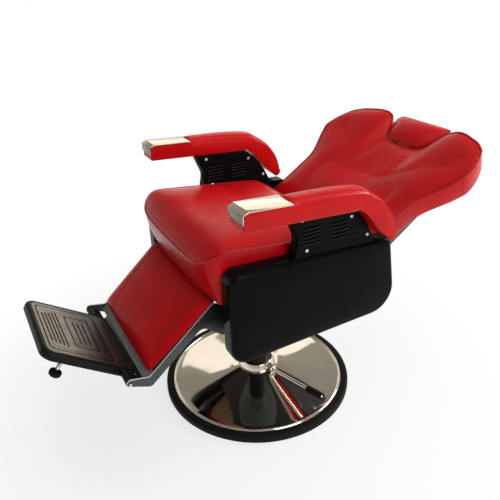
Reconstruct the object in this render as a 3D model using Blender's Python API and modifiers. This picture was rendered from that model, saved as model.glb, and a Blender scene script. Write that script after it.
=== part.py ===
"""Reclining hydraulic barber chair, laid back as in the photograph.

Metres, +Z up. The origin is the middle of the base on the floor. The sitter faces -Y and has +X on the left.
Seat pieces are placed from the mounting plane on top of the swivel hub, and each moving group hangs from an
empty that lies on its joint axis.
"""
import math

import bmesh
import bpy
from mathutils import Matrix, Vector

# Clearances
TOUCH_GAP = 0.0003
PIN_CLEARANCE = 0.0005
SLIDE_CLEARANCE = 0.0006

# Base and pump
BASE_RADIUS = 0.300
RING_WIDTH = 0.022
RING_HEIGHT = 0.024
RING_EDGE = 0.006
PLATE_THICKNESS = 0.010
DOME_SHEET = 0.0025
DOME_RIM = 0.012
DOME_RISE = 0.035
COLLAR_RADIUS = 0.060
COLLAR_HEIGHT = 0.024
CYLINDER_RADIUS = 0.042
CYLINDER_HEIGHT = 0.2517
RAM_RADIUS = 0.028
RAM_LENGTH = 0.280

# Pump lever
LEVER_HEADING = math.radians(10.6)
LEVER_RISE = math.radians(9.3)
LEVER_PIVOT_RADIUS = 0.073
LEVER_PIVOT_HEIGHT = 0.0125
LEVER_EYE_RADIUS = 0.010
LEVER_EYE_WIDTH = 0.012
LEVER_ROD_RADIUS = 0.0055
LEVER_LENGTH = 0.228
LEVER_PIN_RADIUS = 0.004
LUG_THICKNESS = 0.005
SLEEVE_RADIUS = 0.011
SLEEVE_LENGTH = 0.062

# Swivel hub and seat frame
HUB_RADIUS = 0.040
HUB_HEIGHT = 0.072
HUB_LIFT = 0.006
FLANGE_RADIUS = 0.095
FLANGE_THICKNESS = 0.008
CROSS_PLATE_LENGTH = 0.240
CROSS_PLATE_THICKNESS = 0.008
WEB_SPACING = 0.110
WEB_THICKNESS = 0.006
WEB_INSET = 0.0625
SEAT_BOARD_THICKNESS = 0.012
SEAT_BOARD_INSET = 0.0055
SIDE_FRAME_THICKNESS = 0.006
SIDE_FRAME_FOOT = -0.003
SIDE_FRAME_OVERHANG = 0.010
SIDE_FRAME_CORNER = 0.010
SIDE_FRAME_SHOULDER = 0.020
BOARD_FRONT_INSET = 0.104
BOARD_REAR_INSET = 0.010

# Seat cushion, in the seat's frame: +Z above the hub's mounting plane
SEAT_HALF_WIDTH = 0.2405
SEAT_BASE_HEIGHT = 0.142
SEAT_FRONT = -0.272
SEAT_REAR = 0.150
SEAT_SEAM_FRONT_HEIGHT = 0.288
SEAT_SEAM_REAR_HEIGHT = 0.243
SEAT_CROWN = 0.016
SEAT_FRONT_ROLL = 0.046
SEAT_ROLL_DEPTH = 0.064
SEAT_FRONT_BOW = 0.010
SEAT_FRONT_TUCK = 0.032
SEAT_REAR_TUCK = 0.010
SEAT_LIP = 0.008
SEAT_SIDE_TUCK = 0.016

# Side covers
COVER_CLEARANCE = 0.0065
COVER_DEPTH = 0.051
COVER_WALL = 0.003
COVER_EDGE = 0.010
COVER_FRONT = -0.226
COVER_REAR_TOP = 0.262
COVER_REAR_LOW = 0.297
COVER_TOP_FRONT = 0.246
COVER_TOP_REAR = 0.2235
COVER_BOTTOM_FRONT = -0.019
COVER_BOTTOM_REAR = -0.006
COVER_KEEL_DROP = 0.004
COVER_KEEL_SHARE = 0.42
COVER_FRONT_TOP_ROUND = 0.032
COVER_FRONT_LOW_ROUND = 0.042
COVER_KEEL_ROUND = 0.100
COVER_HEEL_ROUND = 0.095
COVER_REAR_TOP_ROUND = 0.020
COVER_HEEL_REACH = 0.004
STEM_SLOT_HEIGHT = 0.060

# Louvred arm panels
PANEL_INSET = 0.009
PANEL_THICKNESS = 0.0117
PANEL_FRONT = -0.044
PANEL_FRONT_SWEEP = 0.018
PANEL_FRONT_SAG = 0.010
PANEL_FRONT_ROUND = 0.050
PANEL_ARM_GAP = 0.006
PANEL_TOP_CUT = 0.032
PANEL_REAR = 0.207
STEM_INSET = 0.005
LOUVRE_COUNT = 5
LOUVRE_LENGTH = 0.050
LOUVRE_HEIGHT = 0.0035
LOUVRE_PITCH = 0.0105
LOUVRE_GROUP_SPACING = 0.086
LOUVRE_CENTRE = 0.545
BOLT_RADIUS = 0.003
BOLT_HEAD_RADIUS = 0.006
BOLT_HEAD_HEIGHT = 0.003
BOLT_LOW_FRONT = 0.034
BOLT_LOW_FRONT_LIFT = 0.019
BOLT_LOW_REAR = 0.028
BOLT_LOW_REAR_LIFT = 0.026
BOLT_HIGH_FRONT = 0.018
BOLT_HIGH_FRONT_DROP = 0.015
BOLT_HIGH_REAR = 0.002
BOLT_HIGH_REAR_DROP = 0.028

# Armrests
ARM_INNER = 0.0075
ARM_WIDTH = 0.072
ARM_DEPTH = 0.0482
ARM_CROWN = 0.006
ARM_SIDE_TUCK = 0.030
ARM_TOP_TUCK = 0.020
ARM_FRONT = -0.2035
ARM_UNDER_FRONT_HEIGHT = 0.3675
ARM_UNDER_REAR = 0.122
ARM_UNDER_REAR_HEIGHT = 0.3455
CAP_THICKNESS = 0.0025
CAP_REAR = -0.074
CAP_LIP = 0.029
CAP_CHAMFER = 0.012
CAP_ROOM = 0.080
# Level run behind the cap: share of the way to the rear bend, lean of the top, lift of the top over the depth
ARM_RUN = ((0.2245, 0.0, 0.0030), (0.6327, 0.012, 0.0029), (0.8673, 0.038, -0.0035))
ARM_NOSE_DROP = 0.0042
ARM_CAP_LIFT = 0.0022
# Rear drop: run back, share of the fall to the cover, and how far the outer side stands off in Y and Z
ARM_DROP = ((0.0, 0.0, 0.038, 0.0325), (0.028, 0.192, 0.055, 0.0234), (0.062, 0.561, 0.054, 0.0205),
            (0.112, 0.925, 0.018, 0.0150))

# Back and leg joints, in the seat's frame
BACK_PIVOT_Y = 0.215
BACK_PIVOT_Z = 0.122
BACK_ANGLE = math.radians(30.5)
LEG_PIVOT_Y = -0.185
LEG_PIVOT_Z = 0.087
LEG_ANGLE = math.radians(40.6)
RECLINE_TRAVEL = math.radians(34.0)
CRANK_LENGTH = 0.055
PIVOT_PIN_RADIUS = 0.008
PIVOT_HEAD_RADIUS = 0.013
PIVOT_HEAD_HEIGHT = 0.004
CRANK_STUD_RADIUS = 0.006
PIVOT_BOSS = 2.6 * PIVOT_PIN_RADIUS
CRANK_LOBE = 2.4 * CRANK_STUD_RADIUS

# Back cushion, in the back's frame: +Y up the back, +Z out of its front
BACK_THICKNESS = 0.0724
BACK_BOTTOM = 0.036
BACK_RECESS = 0.030
BACK_PUFF = 0.008
BACK_SIDE_TUCK = 0.045
BACK_TOP_TUCK = 0.015
BACK_BOARD_THICKNESS = 0.012
BACK_BOARD_INSET = 0.030
BACK_ARM_THICKNESS = 0.006
BACK_ARM_INSET = 0.0295
BACK_ARM_REACH = 0.300
BACK_ARM_DEPTH = 0.032
# Half width of the back over the seat's half width, by height up the back
BACK_EXTRA = ((0.000, 0.0), (0.123, 0.004), (0.170, 0.007), (0.208, 0.010), (0.240, 0.020), (0.270, 0.037),
              (0.316, 0.0635), (0.370, 0.082))
# Height of the back's top edge, by share of its half width
BACK_TOP = ((0.00, 0.405), (0.20, 0.408), (0.29, 0.430), (0.37, 0.486), (0.44, 0.500), (0.575, 0.499),
            (0.66, 0.490), (0.80, 0.471), (0.91, 0.435), (0.96, 0.397), (1.00, 0.350))

# Headrest
HEADREST_HALF_WIDTH = 0.107
HEADREST_BOTTOM = 0.418
HEADREST_TOP = 0.516
HEADREST_FRONT = 0.050
HEADREST_CROWN = 0.010
HEADREST_TOP_ROLL = 0.016
HEADREST_EDGE_SLOPE = 0.006
HEADREST_CHIN = 0.53
HEADREST_CHEEK = 0.89
POST_END_INSET = 0.020
POST_WIDTH = 0.040
POST_THICKNESS = 0.008
POST_BOTTOM = 0.170
SLEEVE_BOTTOM = 0.210
GUIDE_LENGTH = 0.080
GUIDE_WALL = 0.006

# Leg rest, in the leg's frame: +Y up the leg, +Z out of its front
RAIL_INSET = 0.0405
RAIL_THICKNESS = 0.005
RAIL_FRONT = 0.061
RAIL_WIDTH = 0.025
RAIL_LENGTH = 0.254
RAIL_TOE_DROP = 0.040
RAIL_TOE_REACH = 0.032
LEG_BOARD_THICKNESS = 0.012
LEG_PAD_TOP = -0.012
LEG_PAD_BOTTOM = -0.248
LEG_PAD_TOP_OVERHANG = 0.006
LEG_PAD_BOTTOM_INSET = 0.008
LEG_PAD_SIDE_TUCK = 0.025
LEG_PAD_END_TUCK = 0.004
LEG_BOARD_TOP_INSET = 0.012
LEG_PAD_EDGE = 0.007
LEG_PAD_CROWN = 0.012
CROSS_BAR_THICKNESS = 0.006
CROSS_BAR_WIDTH = 0.036
CROSS_BAR_INSET = 0.002

# Footrest, in its own frame: -Y to the toes, +Z out of its top
FOOT_ANGLE = math.radians(-34.5)
FOOT_FRONT = -0.214
FOOT_REAR = 0.037
FOOT_RAIL_GAP = 0.048
FOOT_TAPER = 0.0095
FOOT_CORNER = 0.032
FOOT_REAR_CORNER = 0.012
FOOT_TOP = 0.0088
FOOT_DEPTH = 0.022
FOOT_WALL = 0.003
HINGE_ROD_RADIUS = 0.004
HINGE_ROD_END = 0.003
BUMPER_INSET = 0.0375
BUMPER_Y = -0.147
STUD_RADIUS = 0.005
STUD_LENGTH = 0.058
BUMPER_RADIUS = 0.016
BUMPER_HEIGHT = 0.017

# Links and lock
LINK_THICKNESS = 0.005
LINK_WIDTH = 0.022
LOCK_TUBE_RADIUS = 0.011
LOCK_TUBE_FRONT = -0.110
LOCK_TUBE_REAR = 0.090
LOCK_ROD_RADIUS = 0.006
LOCK_ROD_OVERLAP = 0.110
LOCK_EYE_WIDTH = 0.014
LOCK_EYE_WALL = 0.006
LOCK_END_WALL = 0.012
LOCK_LUG_LENGTH = 0.020

# Release lever on the sitter's right
RELEASE_Y = -0.050
RELEASE_Z = 0.100
RELEASE_LENGTH = 0.120
RELEASE_RISE = math.radians(8.0)
RELEASE_SHAFT_RADIUS = 0.008
RELEASE_BAR_THICKNESS = 0.006
RELEASE_BAR_WIDTH = 0.018
RELEASE_GRIP_RADIUS = 0.012

# Facets of round pieces
BASE_STEPS = 40
PIPE_STEPS = 24
PIN_STEPS = 12
BOLT_STEPS = 8
BUMPER_STEPS = 16

# How sharply the subdivided cushions keep their seams
SEAM_CREASE = 0.6

# Positions worked out from the sizes above
DOME_OUTER = BASE_RADIUS - RING_WIDTH - TOUCH_GAP
DOME_FOOT = PLATE_THICKNESS + TOUCH_GAP
DOME_SHOULDER = RING_HEIGHT
DOME_TOP = DOME_SHOULDER + DOME_RISE
CYLINDER_FOOT = PLATE_THICKNESS + TOUCH_GAP
CYLINDER_TOP = CYLINDER_FOOT + CYLINDER_HEIGHT
HUB_FOOT = CYLINDER_TOP + HUB_LIFT
MOUNT_HEIGHT = HUB_FOOT + HUB_HEIGHT + FLANGE_THICKNESS
RAM_TOP = HUB_FOOT + HUB_HEIGHT
COVER_INNER = SEAT_HALF_WIDTH + COVER_CLEARANCE
COVER_OUTER = COVER_INNER + COVER_DEPTH
PANEL_INNER = COVER_INNER + PANEL_INSET
SIDE_FRAME_INNER = PANEL_INNER + PANEL_THICKNESS + TOUCH_GAP
SIDE_FRAME_OUTER = SIDE_FRAME_INNER + SIDE_FRAME_THICKNESS
PANEL_OUTER = SIDE_FRAME_OUTER + TOUCH_GAP + PANEL_THICKNESS
ARM_MIDDLE = COVER_INNER + ARM_INNER + ARM_WIDTH / 2
RAIL_OUTER = SEAT_HALF_WIDTH - RAIL_INSET
RAIL_INNER = RAIL_OUTER - RAIL_THICKNESS
LEG_PAD_TOP_HALF = RAIL_OUTER + LEG_PAD_TOP_OVERHANG
LEG_PAD_BOTTOM_HALF = RAIL_INNER - LEG_PAD_BOTTOM_INSET
FOOT_REAR_HALF = RAIL_INNER - FOOT_RAIL_GAP
FOOT_FRONT_HALF = FOOT_REAR_HALF - FOOT_TAPER
BUMPER_X = FOOT_FRONT_HALF - BUMPER_INSET
BACK_SIDE = [(height, SEAT_HALF_WIDTH + extra) for height, extra in BACK_EXTRA]
BACK_ARM_OUTER = SEAT_HALF_WIDTH - BACK_ARM_INSET
BACK_ARM_INNER = BACK_ARM_OUTER - BACK_ARM_THICKNESS
LINK_INNER = BACK_ARM_OUTER + 2 * SLIDE_CLEARANCE
LINK_OUTER = LINK_INNER + LINK_THICKNESS
CRANK_Y = -CRANK_LENGTH * math.sin(RECLINE_TRAVEL / 2)
CRANK_Z = -CRANK_LENGTH * math.cos(RECLINE_TRAVEL / 2)
CROSS_PLATE_TOP = TOUCH_GAP + CROSS_PLATE_THICKNESS
SEAT_BOARD_BOTTOM = SEAT_BASE_HEIGHT - TOUCH_GAP - SEAT_BOARD_THICKNESS
FOOT_PIVOT_S = -(RAIL_LENGTH + RAIL_TOE_DROP)
FOOT_PIVOT_N = RAIL_FRONT + RAIL_TOE_REACH

# A plate drawn flat in XY is stood on edge: its X runs along +Y, its Y along +Z, its thickness along X
ON_EDGE = Matrix(((0, 0, 1), (1, 0, 0), (0, 1, 0))).to_euler()
ALONG_X = (0.0, math.pi / 2, 0.0)
ALONG_Y = (-math.pi / 2, 0.0, 0.0)
SIDES = (("left", 1.0), ("right", -1.0))

# Colour, roughness and metallic value of each finish
FINISHES = {
    "red_leather": ((0.50, 0.008, 0.012), 0.42, 0.0),
    "gloss_black": ((0.006, 0.006, 0.007), 0.15, 0.0),
    "matte_black": ((0.010, 0.010, 0.011), 0.55, 0.0),
    "chrome": ((0.80, 0.80, 0.81), 0.06, 1.0),
    "steel": ((0.42, 0.43, 0.44), 0.35, 1.0),
    "grey_paint": ((0.16, 0.17, 0.18), 0.45, 0.4),
    "dark_paint": ((0.035, 0.034, 0.032), 0.40, 0.5),
    "rubber": ((0.012, 0.012, 0.012), 0.75, 0.0),
    "plywood": ((0.42, 0.27, 0.14), 0.65, 0.0),
}


def new_collection(name):
    group = bpy.data.collections.new(name)
    bpy.context.scene.collection.children.link(group)
    return group


def new_finish(name, finish):
    colour, roughness, metallic = FINISHES[finish]
    material = bpy.data.materials.new(name + "_" + finish)
    material.use_nodes = True
    shader = material.node_tree.nodes["Principled BSDF"]
    shader.inputs["Base Color"].default_value = (*colour, 1.0)
    shader.inputs["Roughness"].default_value = roughness
    shader.inputs["Metallic"].default_value = metallic
    material.diffuse_color = (*colour, 1.0)
    return material


def add_empty(name, location, parent=None, tilt=0.0):
    axis = bpy.data.objects.new(name, None)
    PARTS.objects.link(axis)
    axis.parent = parent
    axis.location = location
    axis.rotation_euler = (tilt, 0.0, 0.0)
    return axis


def add_part(name, mesh, finish, parent, location=(0.0, 0.0, 0.0), rotation=(0.0, 0.0, 0.0)):
    part = bpy.data.objects.new(name, mesh)
    PARTS.objects.link(part)
    mesh.materials.clear()
    mesh.materials.append(new_finish(name, finish))
    part.parent = parent
    part.location = location
    part.rotation_euler = rotation
    return part


def add_cutter(name, mesh, parent, location=(0.0, 0.0, 0.0), rotation=(0.0, 0.0, 0.0)):
    cutter = bpy.data.objects.new(name, mesh)
    CUTTERS.objects.link(cutter)
    cutter.hide_render = True
    cutter.display_type = 'WIRE'
    cutter.parent = parent
    cutter.location = location
    cutter.rotation_euler = rotation
    return cutter


def combine(part, cutter, operation):
    change = part.modifiers.new(cutter.name, 'BOOLEAN')
    change.object = cutter
    change.operation = operation


def finish_mesh(cage, name):
    bmesh.ops.recalc_face_normals(cage, faces=cage.faces)
    mesh = bpy.data.meshes.new(name)
    cage.to_mesh(mesh)
    cage.free()
    mesh.shade_smooth()
    mesh.set_sharp_from_angle(angle=math.radians(35.0))
    return mesh


def box_mesh(name, size):
    cage = bmesh.new()
    bmesh.ops.create_cube(cage, size=1.0)
    bmesh.ops.scale(cage, vec=size, verts=cage.verts)
    return finish_mesh(cage, name)


def rod_mesh(name, radius, length, steps=PIPE_STEPS):
    cage = bmesh.new()
    bmesh.ops.create_cone(cage, cap_ends=True, segments=steps, radius1=radius, radius2=radius, depth=length)
    return finish_mesh(cage, name)


def circle(a, b, radius, steps=PIN_STEPS):
    turns = [2 * math.pi * i / steps for i in range(steps)]
    return [(a + radius * math.cos(t), b + radius * math.sin(t)) for t in turns]


def slot(a, b, length, height):
    return [(a - length / 2, b - height / 2), (a + length / 2, b - height / 2),
            (a + length / 2, b + height / 2), (a - length / 2, b + height / 2)]


def rounded(corners, steps=4):
    """Outline through corners (a, b, radius), with an arc in place of each corner that has a radius."""
    outline = []
    for index, (a, b, radius) in enumerate(corners):
        corner = Vector((a, b))
        if radius <= 0.0:
            outline.append((a, b))
            continue
        before = Vector(corners[index - 1][:2]) - corner
        after = Vector(corners[(index + 1) % len(corners)][:2]) - corner
        half = before.angle(after) / 2
        reach = min(radius / math.tan(half), 0.48 * before.length, 0.48 * after.length)
        middle = corner + (before.normalized() + after.normalized()).normalized() * reach / math.cos(half)
        start = corner + before.normalized() * reach - middle
        end = corner + after.normalized() * reach - middle
        turn = start.angle_signed(end)
        for step in range(steps + 1):
            outline.append(tuple(middle + Matrix.Rotation(-turn * step / steps, 2) @ start))
    return outline


def plate_mesh(name, outline, thickness, holes=()):
    """Flat plate in XY from a filled 2D curve, centred on its thickness."""
    curve = bpy.data.curves.new(name, 'CURVE')
    curve.dimensions = '2D'
    curve.fill_mode = 'BOTH'
    curve.extrude = thickness / 2
    for loop in (outline, *holes):
        spline = curve.splines.new('POLY')
        spline.points.add(len(loop) - 1)
        spline.use_cyclic_u = True
        for point, (a, b) in zip(spline.points, loop):
            point.co = (a, b, 0.0, 1.0)
    holder = bpy.data.objects.new(name, curve)
    CUTTERS.objects.link(holder)
    graph = bpy.context.evaluated_depsgraph_get()
    mesh = bpy.data.meshes.new_from_object(holder.evaluated_get(graph))
    bpy.data.objects.remove(holder)
    bpy.data.curves.remove(curve)
    cage = bmesh.new()
    cage.from_mesh(mesh)
    bpy.data.meshes.remove(mesh)
    bmesh.ops.remove_doubles(cage, verts=cage.verts, dist=0.00001)
    return finish_mesh(cage, name)


def turned(name, profile, finish, parent, closed, steps, location=(0.0, 0.0, 0.0), rotation=(0.0, 0.0, 0.0)):
    """Solid turned about Z from a profile of (radius, height) that runs down its outer side."""
    mesh = bpy.data.meshes.new(name)
    edges = [(i, i + 1) for i in range(len(profile) - 1)]
    if closed:
        edges.append((len(profile) - 1, 0))
    mesh.from_pydata([(radius, 0.0, height) for radius, height in profile], edges, [])
    part = add_part(name, mesh, finish, parent, location, rotation)
    turn = part.modifiers.new("turn", 'SCREW')
    turn.steps = steps
    turn.render_steps = steps
    turn.use_merge_vertices = True
    turn.merge_threshold = 0.00001
    weld = part.modifiers.new("close", 'WELD')
    weld.merge_threshold = 0.00001
    return part


def soft_mesh(name, across, along, place, levels):
    """Cage of a cushion: a sheet at the first and at the last level, and side wall through those between."""
    cage = bmesh.new()
    crease = cage.edges.layers.float.new("crease_edge")
    rows = len(along)
    columns = len(across)
    rim = [(i, 0) for i in range(columns)]
    rim += [(columns - 1, j) for j in range(1, rows)]
    rim += [(i, rows - 1) for i in reversed(range(columns - 1))]
    rim += [(0, j) for j in reversed(range(1, rows - 1))]
    grids = []
    for level in (levels[0], levels[-1]):
        grid = {(i, j): cage.verts.new(place(across[i], along[j], level))
                for j in range(rows) for i in range(columns)}
        for j in range(rows - 1):
            for i in range(columns - 1):
                cage.faces.new((grid[i, j], grid[i + 1, j], grid[i + 1, j + 1], grid[i, j + 1]))
        grids.append(grid)
    rings = [[grids[0][spot] for spot in rim]]
    for level in levels[1:-1]:
        rings.append([cage.verts.new(place(across[i], along[j], level)) for i, j in rim])
    rings.append([grids[1][spot] for spot in rim])
    for lower, upper in zip(rings, rings[1:]):
        for k in range(len(rim)):
            cage.faces.new((lower[k - 1], lower[k], upper[k], upper[k - 1]))
    for ring in (rings[0], rings[-1]):
        for k in range(len(rim)):
            cage.edges.get((ring[k - 1], ring[k]))[crease] = SEAM_CREASE
    return finish_mesh(cage, name)


def soft_part(name, across, along, place, levels, parent):
    part = add_part(name, soft_mesh(name, across, along, place, levels), "red_leather", parent)
    swell = part.modifiers.new("swell", 'SUBSURF')
    swell.levels = 1
    swell.render_levels = 1
    return part


def spread(low, high, count):
    return [low + (high - low) * i / count for i in range(count + 1)]


def mix(low, high, share):
    return low + (high - low) * share


def through(points, at):
    """Value at a place on a smooth line through (place, value) points."""
    if at <= points[0][0]:
        return points[0][1]
    for (start, low), (end, high) in zip(points, points[1:]):
        if at <= end:
            share = (at - start) / (end - start)
            return mix(low, high, share * share * (3 - 2 * share))
    return points[-1][1]


def cover_top(y):
    share = (y - COVER_FRONT) / (COVER_REAR_TOP - COVER_FRONT)
    return mix(COVER_TOP_FRONT, COVER_TOP_REAR, share)


def arm_under(y):
    share = (y - ARM_FRONT) / (ARM_UNDER_REAR - ARM_FRONT)
    return mix(ARM_UNDER_FRONT_HEIGHT, ARM_UNDER_REAR_HEIGHT, share)


def arm_inside(gap):
    """Inner side of the armrest's rear drop, from the top down, set in towards the panel by a gap."""
    fall = ARM_UNDER_REAR_HEIGHT - cover_top(PANEL_REAR)
    return [(ARM_UNDER_REAR + back - gap, ARM_UNDER_REAR_HEIGHT - share * fall - gap / 2)
            for back, share, _, _ in ARM_DROP]


def make_base():
    inner = BASE_RADIUS - RING_WIDTH
    edge = RING_EDGE * 0.3
    turned("base_ring", [
        (inner, RING_HEIGHT), (BASE_RADIUS - RING_EDGE, RING_HEIGHT),
        (BASE_RADIUS - edge, RING_HEIGHT - edge), (BASE_RADIUS, RING_HEIGHT - RING_EDGE),
        (BASE_RADIUS, 0.0), (inner, 0.0),
    ], "rubber", base_axis, True, BASE_STEPS)
    disc = rod_mesh("base_plate", inner - TOUCH_GAP, PLATE_THICKNESS, BASE_STEPS)
    add_part("base_plate", disc, "steel", base_axis, (0.0, 0.0, PLATE_THICKNESS / 2))
    shoulder = DOME_OUTER - DOME_RIM
    neck = COLLAR_RADIUS - 2 * DOME_SHEET
    cone = [(0.0, 0.0), (0.5, 0.46), (1.0, 1.0)]
    outer = [(mix(shoulder, neck, a), mix(DOME_SHOULDER, DOME_TOP, b)) for a, b in cone]
    profile = list(reversed(outer))
    profile += [(DOME_OUTER, DOME_SHOULDER - DOME_SHEET), (DOME_OUTER, DOME_FOOT)]
    profile += [(DOME_OUTER - DOME_SHEET, DOME_FOOT)]
    profile += [(DOME_OUTER - DOME_SHEET, DOME_SHOULDER - 2 * DOME_SHEET)]
    profile += [(radius, height - DOME_SHEET) for radius, height in outer]
    turned("base_dome", profile, "chrome", base_axis, True, BASE_STEPS)
    bore = RAM_RADIUS + SLIDE_CLEARANCE
    foot = CYLINDER_RADIUS * 1.5
    turned("pump_cylinder", [
        (bore, CYLINDER_TOP), (CYLINDER_RADIUS, CYLINDER_TOP),
        (CYLINDER_RADIUS, CYLINDER_FOOT + PLATE_THICKNESS), (foot, CYLINDER_FOOT + PLATE_THICKNESS),
        (foot, CYLINDER_FOOT), (bore, CYLINDER_FOOT),
    ], "steel", base_axis, True, PIPE_STEPS)
    make_collar(DOME_TOP + TOUCH_GAP)


def make_collar(foot):
    inner = CYLINDER_RADIUS + TOUCH_GAP
    waist = mix(inner, COLLAR_RADIUS, 0.5)
    collar = turned("pump_collar", [
        (inner, foot + COLLAR_HEIGHT), (waist, foot + COLLAR_HEIGHT),
        (COLLAR_RADIUS, foot + COLLAR_HEIGHT * 0.3), (COLLAR_RADIUS, foot), (inner, foot),
    ], "chrome", base_axis, True, PIPE_STEPS)
    reach = LEVER_PIVOT_RADIUS + LEVER_EYE_RADIUS
    start = mix(inner, waist, 0.6)
    offset = LEVER_EYE_WIDTH / 2 + TOUCH_GAP + LUG_THICKNESS / 2
    top = foot + COLLAR_HEIGHT * 0.95
    corner = LEVER_EYE_RADIUS * 0.8
    outline = rounded([
        (start, foot + TOUCH_GAP, 0.0), (reach, foot + TOUCH_GAP, corner),
        (reach, top, corner), (start, top, 0.0),
    ])
    hole = circle(LEVER_PIVOT_RADIUS, foot + LEVER_PIVOT_HEIGHT, LEVER_PIN_RADIUS + PIN_CLEARANCE)
    heading = Matrix.Rotation(LEVER_HEADING, 3, 'Z') @ Matrix.Rotation(math.pi / 2, 3, 'X')
    for side in (-1.0, 1.0):
        across = Vector((-math.sin(LEVER_HEADING), math.cos(LEVER_HEADING), 0.0)) * side * offset
        lug = plate_mesh("lever_lug", outline, LUG_THICKNESS, [hole])
        combine(collar, add_cutter("lever_lug", lug, base_axis, across, heading.to_euler()), 'UNION')


def make_pump_lever():
    upright = Matrix.Rotation(math.pi / 2, 3, 'X').to_euler()
    span = LEVER_EYE_WIDTH + 2 * (TOUCH_GAP + LUG_THICKNESS + TOUCH_GAP)
    add_part("pump_lever_pin", rod_mesh("pump_lever_pin", LEVER_PIN_RADIUS, span, PIN_STEPS), "steel",
             lever_base, rotation=upright)
    eye = plate_mesh("pump_lever", circle(0.0, 0.0, LEVER_EYE_RADIUS, PIPE_STEPS), LEVER_EYE_WIDTH,
                     [circle(0.0, 0.0, LEVER_PIN_RADIUS + PIN_CLEARANCE)])
    lever = add_part("pump_lever", eye, "chrome", lever_axis, rotation=upright)
    start = LEVER_PIN_RADIUS + 2 * PIN_CLEARANCE
    run = Matrix.Rotation(math.pi / 2 - LEVER_RISE, 3, 'Y')
    direction = run @ Vector((0.0, 0.0, 1.0))
    rod = rod_mesh("lever_rod", LEVER_ROD_RADIUS, LEVER_LENGTH - start, PIN_STEPS)
    middle = direction * (LEVER_LENGTH + start) / 2
    combine(lever, add_cutter("lever_rod", rod, lever_axis, middle, run.to_euler()), 'UNION')
    inner = LEVER_ROD_RADIUS + TOUCH_GAP
    edge = (SLEEVE_RADIUS - inner) / 3
    turned("pump_lever_sleeve", [
        (inner, SLEEVE_LENGTH), (SLEEVE_RADIUS - edge, SLEEVE_LENGTH), (SLEEVE_RADIUS, SLEEVE_LENGTH - edge),
        (SLEEVE_RADIUS, edge), (SLEEVE_RADIUS - edge, 0.0), (inner, 0.0),
    ], "rubber", lever_axis, True, PIN_STEPS, direction * (LEVER_LENGTH - SLEEVE_LENGTH), run.to_euler())


def make_ram():
    ram = rod_mesh("pump_ram", RAM_RADIUS, RAM_LENGTH, PIPE_STEPS)
    add_part("pump_ram", ram, "chrome", lift_axis, (0.0, 0.0, RAM_TOP - RAM_LENGTH / 2))


def make_hub():
    bore = RAM_RADIUS + SLIDE_CLEARANCE
    deck = -FLANGE_THICKNESS
    floor = deck - HUB_HEIGHT
    turned("swivel_hub", [
        (0.0, 0.0), (FLANGE_RADIUS, 0.0), (FLANGE_RADIUS, deck), (HUB_RADIUS, deck), (HUB_RADIUS, floor),
        (bore, floor), (bore, deck + TOUCH_GAP), (0.0, deck + TOUCH_GAP),
    ], "grey_paint", seat_axis, False, PIPE_STEPS)


def make_seat_frame():
    width = 2 * (SIDE_FRAME_INNER - TOUCH_GAP)
    plate = box_mesh("seat_cross_frame", (width, CROSS_PLATE_LENGTH, CROSS_PLATE_THICKNESS))
    frame = add_part("seat_cross_frame", plate, "matte_black", seat_axis,
                     (0.0, 0.0, TOUCH_GAP + CROSS_PLATE_THICKNESS / 2))
    web_top = SEAT_BOARD_BOTTOM - TOUCH_GAP
    web_foot = TOUCH_GAP + CROSS_PLATE_THICKNESS / 2
    web_width = 2 * (SEAT_HALF_WIDTH - WEB_INSET)
    for name, y in (("front_web", -WEB_SPACING / 2), ("rear_web", WEB_SPACING / 2)):
        web = box_mesh(name, (web_width, WEB_THICKNESS, web_top - web_foot))
        combine(frame, add_cutter(name, web, seat_axis, (0.0, y, (web_top + web_foot) / 2)), 'UNION')
    front = SEAT_FRONT + BOARD_FRONT_INSET
    rear = SEAT_REAR - BOARD_REAR_INSET
    board_width = 2 * (SEAT_HALF_WIDTH - SEAT_BOARD_INSET)
    board = box_mesh("seat_board", (board_width, rear - front, SEAT_BOARD_THICKNESS))
    add_part("seat_board", board, "plywood", seat_axis,
             (0.0, (front + rear) / 2, SEAT_BOARD_BOTTOM + SEAT_BOARD_THICKNESS / 2))
    for side, sign in SIDES:
        make_side_frame(side, sign)


def bolt_spots():
    """Panel bolts as (y, z): two under the armrest and two over the cover."""
    low_front = PANEL_FRONT + BOLT_LOW_FRONT
    low_rear = PANEL_REAR - BOLT_LOW_REAR
    high_rear = ARM_UNDER_REAR + BOLT_HIGH_REAR
    high_front = PANEL_FRONT + BOLT_HIGH_FRONT
    return [(high_front, arm_under(high_front) - BOLT_HIGH_FRONT_DROP),
            (high_rear, arm_under(high_rear) - BOLT_HIGH_REAR_DROP),
            (low_rear, cover_top(low_rear) + BOLT_LOW_REAR_LIFT),
            (low_front, cover_top(low_front) + BOLT_LOW_FRONT_LIFT)]


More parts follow.
